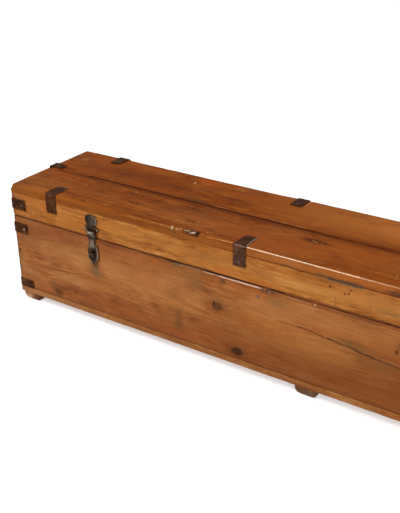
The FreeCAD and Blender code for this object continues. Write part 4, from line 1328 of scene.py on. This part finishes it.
def make_side_straps():
    """The straps over the lid's two ends."""
    for index, (side, sign) in enumerate((("left", -1), ("right", 1))):
        node = "side_strap_" + side
        low, high = node_box(node)
        outer, inner = outer_and_inner(low, high, 0, sign)
        corner = np.array([outer - sign * THICK, (low[1] + high[1]) / 2, high[2] - THICK])
        reach = abs(corner[0] - inner)
        length, path = bent_path(corner, DOWN, (-sign, 0, 0), corner[2] - low[2], reach, BEND)
        width = high[1] - low[1]
        outline = sides((0, 0), (0.001, -0.001), (0.003, 0.003), (0.005, 0.008), length, width / 2)
        part = strap(path, length, BACKWARD, width, THICK, outline, seed=240 + 7 * index)
        add_iron(node, [part], strap_iron, "strap_iron")


def make_corner_straps():
    """Three rows of straps round the four upright corners; those of the lid have a low bulge."""
    seed = 300
    for row in ("upper_strap", "lower_strap", "lid_corner_strap"):
        for end, end_sign in (("front", -1), ("back", 1)):
            for side, side_sign in (("left", -1), ("right", 1)):
                node = "_".join((row, end, side))
                low, high = node_box(node)
                outer_x, inner_x = outer_and_inner(low, high, 0, side_sign)
                outer_y, inner_y = outer_and_inner(low, high, 1, end_sign)
                corner = (outer_x - side_sign * THICK, outer_y - end_sign * THICK, (low[2] + high[2]) / 2)
                along_x, along_y = abs(corner[0] - inner_x), abs(corner[1] - inner_y)
                ways = (-side_sign, 0, 0), (0, -end_sign, 0)
                length, path = bent_path(corner, *ways, along_x, along_y, CORNER_BEND)
                width = high[2] - low[2]
                turn = 0.002 * math.sin(seed * 1.3)
                lean = turn * 0.4
                outline = sides((lean, lean - 0.001), (0, 0), (0.005, 0.004), (0.004, 0.005), length,
                                width / 2 - abs(lean))

                def swell(u, v):
                    bulge = bell(u, 0.014, 0.008) * bell(v, 0, 0.008)
                    return 0.0009 * bulge * (row == "lid_corner_strap")

                part = strap(path, length, UP, width, THICK, outline, seed=seed, crown=swell)
                add_iron(node, [part], strap_iron, "strap_iron")
                seed += 7


def make_hinges():
    """Three hinges, each a leaf over the lid's back edge with two knuckles and one down the back with one."""
    for index, place in enumerate(("left", "middle", "right")):
        pin = "hinge_pin_" + place
        low, high = node_box(pin)
        centre = (low + high) / 2
        lid_leaf, body_leaf = "hinge_lid_leaf_" + place, "hinge_body_leaf_" + place
        low, high = node_box(lid_leaf)
        foot = node_box(body_leaf)[0][2]
        width = high[0] - low[0]
        third = (width - 2 * HINGE_GAP) / 3
        knuckle = rounded_rod(third, HINGE_KNUCKLE)
        behind = BACK.level * MM
        corner = np.array([centre[0], behind, high[2] - THICK])
        drop = corner[2] - centre[2]
        reach = corner[1] - low[1]
        length, path = bent_path(corner, DOWN, FORWARD, drop, reach, BEND)
        shapes = (
            ((0.002, 0.0), (0.004, 0.011)),
            ((0.0, -0.003), (0.003, 0.003)),
            ((0.0, 0.0), (0.006, 0.005)),
        )
        finish, finish_radii = shapes[index]
        outline = sides((0, 0), finish, (0.0005, 0.0005), finish_radii, length, width / 2)
        clear = (HINGE_KNUCKLE + HINGE_CLEARANCE) ** 2 - (centre[1] - corner[1] - THICK) ** 2
        clear = math.sqrt(max(clear, 0))

        def round_middle(u, v):
            middle = 1 - ease(np.abs(v), third / 2 + 0.0002, third / 2 + 0.0014)
            near = np.clip(1 - u / 0.03, 0, 1)
            return u + near * (0.003 + (clear - 0.003) * middle)

        leaf = strap(path, length, RIGHTWARD, width, THICK, outline, seed=400 + 7 * index, notch=round_middle)
        parts = [leaf]
        for x0 in (centre[0] - width / 2, centre[0] + width / 2 - third):
            parts.append(turned((x0, *centre[1:]), RIGHTWARD, knuckle))
        add_iron(lid_leaf, parts, strap_iron, "strap_iron")

        drop = centre[2] - foot
        path = straight_path((centre[0], behind, foot), UP, BACKWARD)
        outline = sides((0, 0), (0, 0), (0.004, 0.005), (0.0005, 0.0005), drop, width / 2)

        def round_outer(u, v):
            outer = ease(np.abs(v), third / 2 - 0.0006, third / 2 + 0.0002)
            near = np.clip(1 - (drop - u) / 0.03, 0, 1)
            return u - near * (0.003 + (clear - 0.003) * outer)

        parts = [strap(path, drop, RIGHTWARD, width, THICK, outline, seed=430 + 7 * index, notch=round_outer)]
        parts.append(turned((centre[0] - third / 2, *centre[1:]), RIGHTWARD, knuckle))
        add_iron(body_leaf, parts, strap_iron, "strap_iron")


def pin_profile(run, head, head_radius, shank_radius):
    """A pin with a hammered head at each end, from tip to tip."""
    cap = [(0.0, head_radius * 0.45), (head * 0.25, head_radius * 0.82), (head * 0.65, head_radius)]
    cap += [(head, head_radius * 0.96), (head, shank_radius)]
    return cap + [(run - at, radius) for at, radius in reversed(cap)]


def make_pins():
    for index, node in enumerate(sorted(name for name in frame["nodes"] if "_pin_" in name)):
        low, high = node_box(node)
        centre = (low + high) / 2
        on_hasp = node.startswith("hasp")
        shank = 0.0024 if on_hasp else 0.0025
        profile = pin_profile(high[0] - low[0], 0.0015, (high[2] - low[2]) / 2, shank)
        part = turned((low[0], *centre[1:]), RIGHTWARD, profile, around=20, wobble=0.05, seed=index)
        material, slot = (hasp_metal, "hasp_iron") if on_hasp else (strap_iron, "strap_iron")
        add_iron(node, [part], material, slot)


# Hasps


def curve_through(pairs):
    """A smooth function through (place, value) pairs."""
    xs, ys = (np.array(values, float) for values in zip(*pairs))
    slopes = np.gradient(ys, xs)

    def value(x):
        x = np.clip(x, xs[0], xs[-1])
        k = np.clip(np.searchsorted(xs, x) - 1, 0, len(xs) - 2)
        width = xs[k + 1] - xs[k]
        t = (x - xs[k]) / width
        return (
            ys[k] * (1 + 2 * t) * (1 - t) ** 2
            + slopes[k] * width * t * (1 - t) ** 2
            + ys[k + 1] * t**2 * (3 - 2 * t)
            + slopes[k + 1] * width * t**2 * (t - 1)
        )

    return value


# Half widths of the hasp's leaf and plate, as shares of the widest, from the pin to the far end
leaf_halves = curve_through(
    [(0.0, 0.42), (0.05, 0.56), (0.085, 0.70), (0.16, 0.66), (0.27, 0.58), (0.37, 0.67), (0.50, 0.92),
     (0.63, 1.0), (0.76, 0.88), (0.87, 0.54), (0.95, 0.24), (1.0, 0.03)]
)
plate_halves = curve_through(
    [(0.0, 0.68), (0.10, 0.68), (0.20, 0.66), (0.30, 0.58), (0.40, 0.70), (0.54, 0.93), (0.70, 1.0),
     (0.84, 0.88), (0.94, 0.56), (1.0, 0.05)]
)


def cut_out(piece, points, faces):
    """Take a closed shape out of a piece."""
    cutter = add_mesh("cutter", points, faces)
    modifier = piece.modifiers.new("cut", "BOOLEAN")
    modifier.operation = "DIFFERENCE"
    modifier.solver = "EXACT"
    modifier.object = cutter
    made = bpy.data.meshes.new_from_object(piece.evaluated_get(bpy.context.evaluated_depsgraph_get()))
    piece.modifiers.clear()
    piece.data = made
    bpy.data.objects.remove(cutter)
    made.set_sharp_from_angle(angle=math.radians(50))


def stadium(centre_x, centre_z, width, height, y0, y1):
    """A round-ended slot's shape, along Y."""
    radius, straight = width / 2, (height - width) / 2
    ring = []
    for sign in (1, -1):
        for k in range(13):
            angle = math.pi * k / 12
            across, up = radius * math.cos(angle), straight + radius * math.sin(angle)
            ring.append((centre_x + sign * across, centre_z + sign * up))
    count = len(ring)
    points = [(x, y0, z) for x, z in ring] + [(x, y1, z) for x, z in ring]
    faces = [[k, (k + 1) % count, count + (k + 1) % count, count + k] for k in range(count)]
    faces += [list(range(count))[::-1], list(range(count, 2 * count))]
    return points, faces


# The hasps' measures. NET is the spacing of the plate's ribs, EAR the radius of the ears over its knuckles,
# and the plate's two knuckles begin a little beyond the half width of the leaf's.
NET = 0.0080
KNUCKLE = 0.0060
LEAF_KNUCKLE_HALF = 0.0085
PLATE_KNUCKLE_FROM = 0.0089
PLATE_KNUCKLE = 0.0061
LEAF_THICK = 0.0034
PLATE_THICK = 0.0030
PLATE_HALF = 0.022
EAR = 0.005
SLOT_WIDE, SLOT_TALL = 0.009, 0.030
STAPLE_HALF = 0.003
STAPLE_INNER, STAPLE_OUTER = 0.0060, 0.0100


def net_ribs(up, across, wide, narrow):
    """1 on the slanting ribs of the plate's raised net, fading to 0 between them."""
    first = np.abs((up + across) / NET % 1 - 0.5) * 2
    second = np.abs((up - across) / NET % 1 - 0.5) * 2
    return np.maximum(ease(first, wide, narrow), ease(second, wide, narrow))


def make_hasp_leaf(side, index, axis, slot_at):
    """The waisted leaf that hangs from the pin, with a slot for the staple and its own knuckle."""
    leaf = "hasp_leaf_" + side
    low, high = node_box(leaf)
    half, run, inner_y = (high[0] - low[0]) / 2, axis[2] - low[2], high[1]

    def outline(u):
        width = half * leaf_halves(u / run)
        return -width, width

    def crown(u, v):
        share = np.clip(np.abs(v) / np.maximum(half * leaf_halves(u / run), 1e-6), 0, 1)
        rim = 0.0006 * bell(share, 0.84, 0.09)
        belly = 0.0009 * (1 - share**2) * ease(u / run, 0.12, 0.3)
        rib = 0.0010 * bell(v, 0, 0.0028) * ease(u / run, 0.10, 0.18) * ease(u / run, 0.46, 0.36)
        collar = 0.0011 * bell(u, 0.0105, 0.0022) + 0.0008 * bell(u, 0.016, 0.0016)
        return rim + belly + rib + collar

    def below_knuckle(u, v):
        return u * (run - 0.0035) / run + 0.0035

    path = straight_path((axis[0], inner_y, axis[2]), DOWN, FORWARD)
    points, faces, edge = strap(path, run, RIGHTWARD, 2 * half, LEAF_THICK, outline, 500 + index, bed=0.0,
                                dents=0.35, step=0.0013, crown=crown, rim=0.0012, notch=below_knuckle)
    x, y, z = points.T
    down = (axis[2] - z) / run
    share = np.abs(x - axis[0]) / np.maximum(half * leaf_halves(down), 1e-6)
    front = ease(y, inner_y - 0.0015, inner_y - 0.003)
    slot_near = np.hypot((x - axis[0]) / 0.0085, np.maximum(np.abs(z - slot_at) - 0.0105, 0) / 0.0085)
    recess = 0.9 * ease(slot_near, 1.5, 0.9) + 0.5 * ease(down, 0.20, 0.16) * ease(down, 0.10, 0.14)
    recess = np.maximum(recess, 0.8 * bell(down, 0.15, 0.02))
    # The bright mask paints highlights along the leaf's rims, its waist and its lower left; the dark mask
    # darkens it round the slot and under the collar.
    left = ease(x - axis[0], 0.002, -0.002)
    worn_and_highlit_left = 0.20 + 0.6 * bell(down, 0.78, 0.07)
    bright = bell(share, 0.92, 0.06) * ease(down, 0.36, 0.48) * (0.55 * (1 - left) + worn_and_highlit_left * left)
    bright = np.maximum(bright, 0.2 * bell(down, 0.10, 0.03) * ease(share, 0.95, 0.6))
    bright = np.maximum(bright, 0.35 * bell(share, 0.25, 0.2) * ease(down, 0.2, 0.28) * ease(down, 0.5, 0.42))
    piece = add_piece(leaf + "_cast", points, faces, hasp_metal, edge=edge, recess=recess * front,
                      bright=bright * front)
    cut_out(piece, *stadium(axis[0], slot_at, SLOT_WIDE, SLOT_TALL, inner_y - 0.02, inner_y + 0.01))
    dress(piece, leaf)

    start = (axis[0] - LEAF_KNUCKLE_HALF, *axis[1:])
    points, faces, edge = turned(start, RIGHTWARD, rounded_rod(2 * LEAF_KNUCKLE_HALF, KNUCKLE, 0.0012))
    # A painted highlight band across the barrel, with painted shade over the rest of it.
    band = bell(points[:, 2] - axis[2], 0.001, 0.003)
    barrel = add_piece(leaf + "_barrel", points, faces, hasp_metal, edge=edge, bright=0.8 * band,
                       recess=0.6 * (1 - band))
    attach(barrel, body_of_node[leaf])


def make_hasp_plate(side, index, axis):
    """The ornamented plate above the pin, with two knuckles and a raised net."""
    plate = "hasp_plate_" + side
    low, high = node_box(plate)
    rise, ear_half = high[2] - axis[2], (high[0] - low[0]) / 2

    def outline(u):
        width = PLATE_HALF * plate_halves(u / rise)
        ear = np.sqrt(np.maximum(EAR**2 - (u - 0.0105) ** 2, 0))
        width = np.maximum(width, np.where(ear > 0, ear_half - EAR + ear, 0))
        return -width, width

    def relief(u, v):
        share = np.abs(v) / np.maximum(PLATE_HALF * plate_halves(u / rise), 1e-6)
        field = ease(u / rise, 0.40, 0.50) * ease(u / rise, 0.97, 0.90) * ease(share, 0.86, 0.74)
        dome = 0.0016 * np.clip(1 - ((u - 0.037) / 0.018) ** 2 - (v / 0.022) ** 2, 0, 1)
        border = 0.0012 * bell(share, 0.90, 0.07) * ease(u / rise, 0.38, 0.5)
        boss = 0.0016 * np.clip(1 - ((u - 0.0175) / 0.004) ** 2 - (v / 0.006) ** 2, 0, 1)
        return dome + border + boss + field * (0.0010 * net_ribs(u, v, 0.45, 0.10) - 0.0002)

    def round_barrel(u, v):
        middle = 1 - ease(np.abs(v), PLATE_KNUCKLE_FROM, 0.0100)
        near = np.clip(1 - u / 0.02, 0, 1)
        return u + near * 0.0068 * middle

    path = straight_path((axis[0], FRONT.level * MM, axis[2]), UP, FORWARD)
    shield = strap(path, rise, RIGHTWARD, 2 * PLATE_HALF, PLATE_THICK, outline, 520 + index, bed=0.0006,
                   dents=0.25, step=0.0009, crown=relief, rim=0.0010, notch=round_barrel)
    parts = [shield]
    for x0 in (axis[0] - PLATE_KNUCKLE_FROM - PLATE_KNUCKLE, axis[0] + PLATE_KNUCKLE_FROM):
        parts.append(turned((x0, *axis[1:]), RIGHTWARD, rounded_rod(PLATE_KNUCKLE, KNUCKLE, 0.0010)))
    x, _, z = shield[0].T
    up = (z - axis[2]) / rise
    share = np.abs(x - axis[0]) / np.maximum(PLATE_HALF * plate_halves(up), 1e-6)
    field = ease(up, 0.40, 0.48) * ease(up, 0.98, 0.92) * ease(share, 0.90, 0.80)
    net = net_ribs(z - axis[2], x - axis[0], 0.42, 0.14)
    rim = bell(share, 0.92, 0.07) * ease(up, 0.4, 0.5)
    # Painted shade on the plate's left side and in a band at its neck, and painted highlights on the net's
    # ribs and rim; between the ribs it is dark in the hollows.
    shade = ease(x - axis[0], 0.006, -0.014)
    recess = 0.9 * field * (1 - net) + 0.7 * bell(up, 0.36, 0.03) + 0.5 * shade
    bright = (0.26 * field * net + 0.35 * rim) * (1 - 0.8 * shade)
    rest = np.ones(sum(len(part[0]) for part in parts[1:]))
    recess, bright = np.concatenate([recess, 0.1 * rest]), np.concatenate([bright, 0.15 * rest])
    add_iron(plate, parts, hasp_metal, "hasp_iron", recess=recess, bright=bright)


def make_staple(side, axis, slot_at, low, high):
    """An eye through the leaf's slot, its shank through the board, and the end clinched inside."""
    reach, eye_y, back_y = (high[2] - low[2]) / 2, low[1] + 0.010, high[1]
    left, right = axis[0] - STAPLE_HALF, axis[0] + STAPLE_HALF
    eye = ring((axis[0], eye_y, slot_at), STAPLE_INNER, STAPLE_OUTER, 2 * STAPLE_HALF, 0.0015)
    shank = solid_block((left, eye_y + 0.0068, slot_at - 0.004), (right, back_y, slot_at + 0.004), 0.0010)
    clinch = solid_block((left, back_y - 0.003, slot_at - reach), (right, back_y, slot_at + reach), 0.0012)
    add_iron("staple_" + side, [eye, shank, clinch], hasp_metal, "hasp_iron")


def make_hasps():
    for index, side in enumerate(("left", "right")):
        pin_low, pin_high = node_box("hasp_pin_" + side)
        axis = (pin_low + pin_high) / 2
        low, high = node_box("staple_" + side)
        slot_at = (low[2] + high[2]) / 2
        make_hasp_leaf(side, index, axis, slot_at)
        make_hasp_plate(side, index, axis)
        make_staple(side, axis, slot_at, low, high)


def ring(centre, inner, outer, width, soft):
    """A flat-bar eye whose axis is along X."""
    around = 40
    centre = np.array(centre, float)
    section = []
    for sx, sr, start in ((-1, -1, 180), (1, -1, 270), (1, 1, 0), (-1, 1, 90)):
        corner = np.array([sx * (width / 2 - soft), (inner + outer) / 2 + sr * ((outer - inner) / 2 - soft)])
        for k in range(4):
            angle = math.radians(start + 30 * k)
            section.append(corner + soft * np.array([math.cos(angle), math.sin(angle)]))
    count = len(section)
    points, faces = [], []
    for k in range(around):
        angle = 2 * math.pi * k / around
        for x, radius in section:
            points.append(centre + np.array([x, radius * math.cos(angle), radius * math.sin(angle)]))
        for m in range(count):
            n = (m + 1) % count
            a, b = k * count, (k + 1) % around * count
            faces.append([a + m, b + m, b + n, a + n])
    edge = np.full(len(points), 0.35)
    return np.array(points), faces, edge


# Nails


def nails_of(node):
    """Each nail of a CAD node: its head's outer end, the way it points out, its length and head radius."""
    mesh = bmesh.new()
    mesh.from_mesh(frame["nodes"][node].data)
    bmesh.ops.remove_doubles(mesh, verts=mesh.verts, dist=1e-6)
    found, seen = [], set()
    for vertex in mesh.verts:
        if vertex in seen:
            continue
        group, queue = [], [vertex]
        seen.add(vertex)
        while queue:
            current = queue.pop()
            group.append(tuple(current.co))
            for link in current.link_edges:
                other = link.other_vert(current)
                if other not in seen:
                    seen.add(other)
                    queue.append(other)
        points = np.array(group)
        low, high = points.min(0), points.max(0)
        centre = (low + high) / 2
        axis = int(np.argmax(high - low))
        spread = np.linalg.norm(np.delete(points - centre, axis, axis=1), axis=1)
        along = points[:, axis] - centre[axis]
        wide = spread > spread.max() * 0.9
        sign = 1.0 if along[wide].mean() > 0 else -1.0
        out = np.zeros(3)
        out[axis] = sign
        head = centre.copy()
        head[axis] = high[axis] if sign > 0 else low[axis]
        found.append((head, out, (high - low)[axis], spread.max()))
    mesh.free()
    return found


# How far the hasps are from the chest's middle
HASP_AT = 0.493


def make_nails(node, material, dome, sunk=0.0, head_share=1.0):
    """Hammered nails where the CAD has them; dome is the head's height over the iron or wood."""
    parts, bright = [], []
    for index, (head, out, length, radius) in enumerate(nails_of(node)):
        radius = radius * head_share * (0.94 + 0.06 * math.sin(index * 2.1))
        tip = head - out * length
        top = length - sunk
        profile = [(0.0, 0.0006), (0.004, 0.0016), (top - dome - 0.0012, 0.0018)]
        profile += [(top - dome - 0.0011, radius * 0.80)]
        heights = ((1.0, 1.0), (0.55, 0.93), (0.22, 0.66), (0.0, 0.26))
        profile += [(top - dome * below, radius * share) for below, share in heights]
        part = turned(tip, out, profile, around=14, wobble=0.07, seed=index * 1.7)
        parts.append(part)
        x, y, z = np.abs(head)
        shine = 0.35 if abs(x - HASP_AT) < 0.05 and head[1] < 0 else 0.0
        if x > 0.72 and y > 0.17:
            # The heads on the corner straps, of which those of the chest's upper row are rubbed most
            shine = 0.7 if 0.22 < z < 0.28 else 0.12 if z > 0.3 else 0.0
        bright.append(np.full(len(part[0]), shine))
    add_iron(node, parts, material, "nail_iron", bright=np.concatenate(bright))


make_front_straps()
make_side_straps()
make_corner_straps()
make_hinges()
make_hasps()
make_pins()
make_nails("body_strap_nails", nail_iron, 0.0016)
make_nails("lid_strap_nails", nail_iron, 0.0012)
for node in ("body_board_nails", "lid_board_nails", "bottom_board_nails", "bearer_nails"):
    share = 0.75 if node == "lid_board_nails" else 1.0
    make_nails(node, board_nail_iron, 0.0006, sunk=0.0003, head_share=share)


# Floor, light and camera


def make_stage():
    """A plain pale floor, which looks about as white as the air behind it."""
    size = 40.0
    floor = add_mesh("floor", [(-size, -size, 0), (size, -size, 0), (size, size, 0), (-size, size, 0)],
                     [(0, 1, 2, 3)])
    floor.location.z = -0.0005
    sh = Shader(bpy.data.materials.new("floor_paper"))
    distance = sh.vector("LENGTH", sh.coordinates())
    paper = sh.add("ShaderNodeBsdfDiffuse")
    sh.plug(paper.inputs["Color"], (0.84, 0.84, 0.84))
    glow = sh.add("ShaderNodeEmission")
    sh.plug(glow.inputs["Color"], (1.0, 1.0, 1.0))
    sh.plug(glow.inputs["Strength"], sh.times(sh.seen_directly(), sh.range(distance, 1.6, 4.5, 0.50, 0.62)))
    both = sh.fill(sh.add("ShaderNodeAddShader"), (paper.outputs[0], glow.outputs[0]))
    sh.plug(sh.add("ShaderNodeOutputMaterial").inputs[0], both)
    floor.data.materials.append(sh.owner)


def make_world():
    """White all round, at half its strength for the light that it throws on things."""
    world = bpy.data.worlds.new("studio")
    bpy.context.scene.world = world
    sh = Shader(world)
    background = sh.add("ShaderNodeBackground")
    sh.plug(background.inputs["Color"], (1.0, 1.0, 1.0))
    sh.plug(background.inputs["Strength"], sh.range(sh.seen_directly(), 0.0, 1.0, 0.50, 1.0))
    sh.plug(sh.add("ShaderNodeOutputWorld").inputs[0], background.outputs[0])


def add_lamp(name, place, target, width, height, power):
    lamp = bpy.data.lights.new(name, "AREA")
    lamp.shape = "RECTANGLE"
    lamp.size = width
    lamp.size_y = height
    lamp.energy = power
    holder = add_object(name, lamp)
    holder.location = place
    holder.rotation_euler = (Vector(target) - Vector(place)).to_track_quat("-Z", "Y").to_euler()


def make_camera():
    """The photograph's own camera, as fitted to the chest's edges in it."""
    lens = bpy.data.cameras.new("camera")
    lens.lens = 62.28
    lens.sensor_width = 36.0
    lens.clip_end = 200.0
    camera = add_object("camera", lens)
    right = Vector((0.8276328692, 0.5609953446, -0.0175515592))
    down = Vector((0.2354787104, -0.3754464212, -0.8964316827))
    ahead = Vector((-0.5094836708, 0.7377833071, -0.4428342590))
    turn = Matrix((right, -down, -ahead)).transposed()
    camera.matrix_world = Matrix.Translation((1.06495, -1.89344, 1.35229)) @ turn.to_4x4()
    bpy.context.scene.camera = camera


make_camera()
make_stage()
make_world()
add_lamp("key", (-1.5, -2.1, 3.1), (0.0, 0.0, 0.25), 1.6, 1.2, 62.0)
add_lamp("front_fill", (1.6, -3.2, 1.6), (0.1, 0.0, 0.2), 2.2, 1.6, 30.0)
bpy.context.scene.view_settings.view_transform = "Standard"
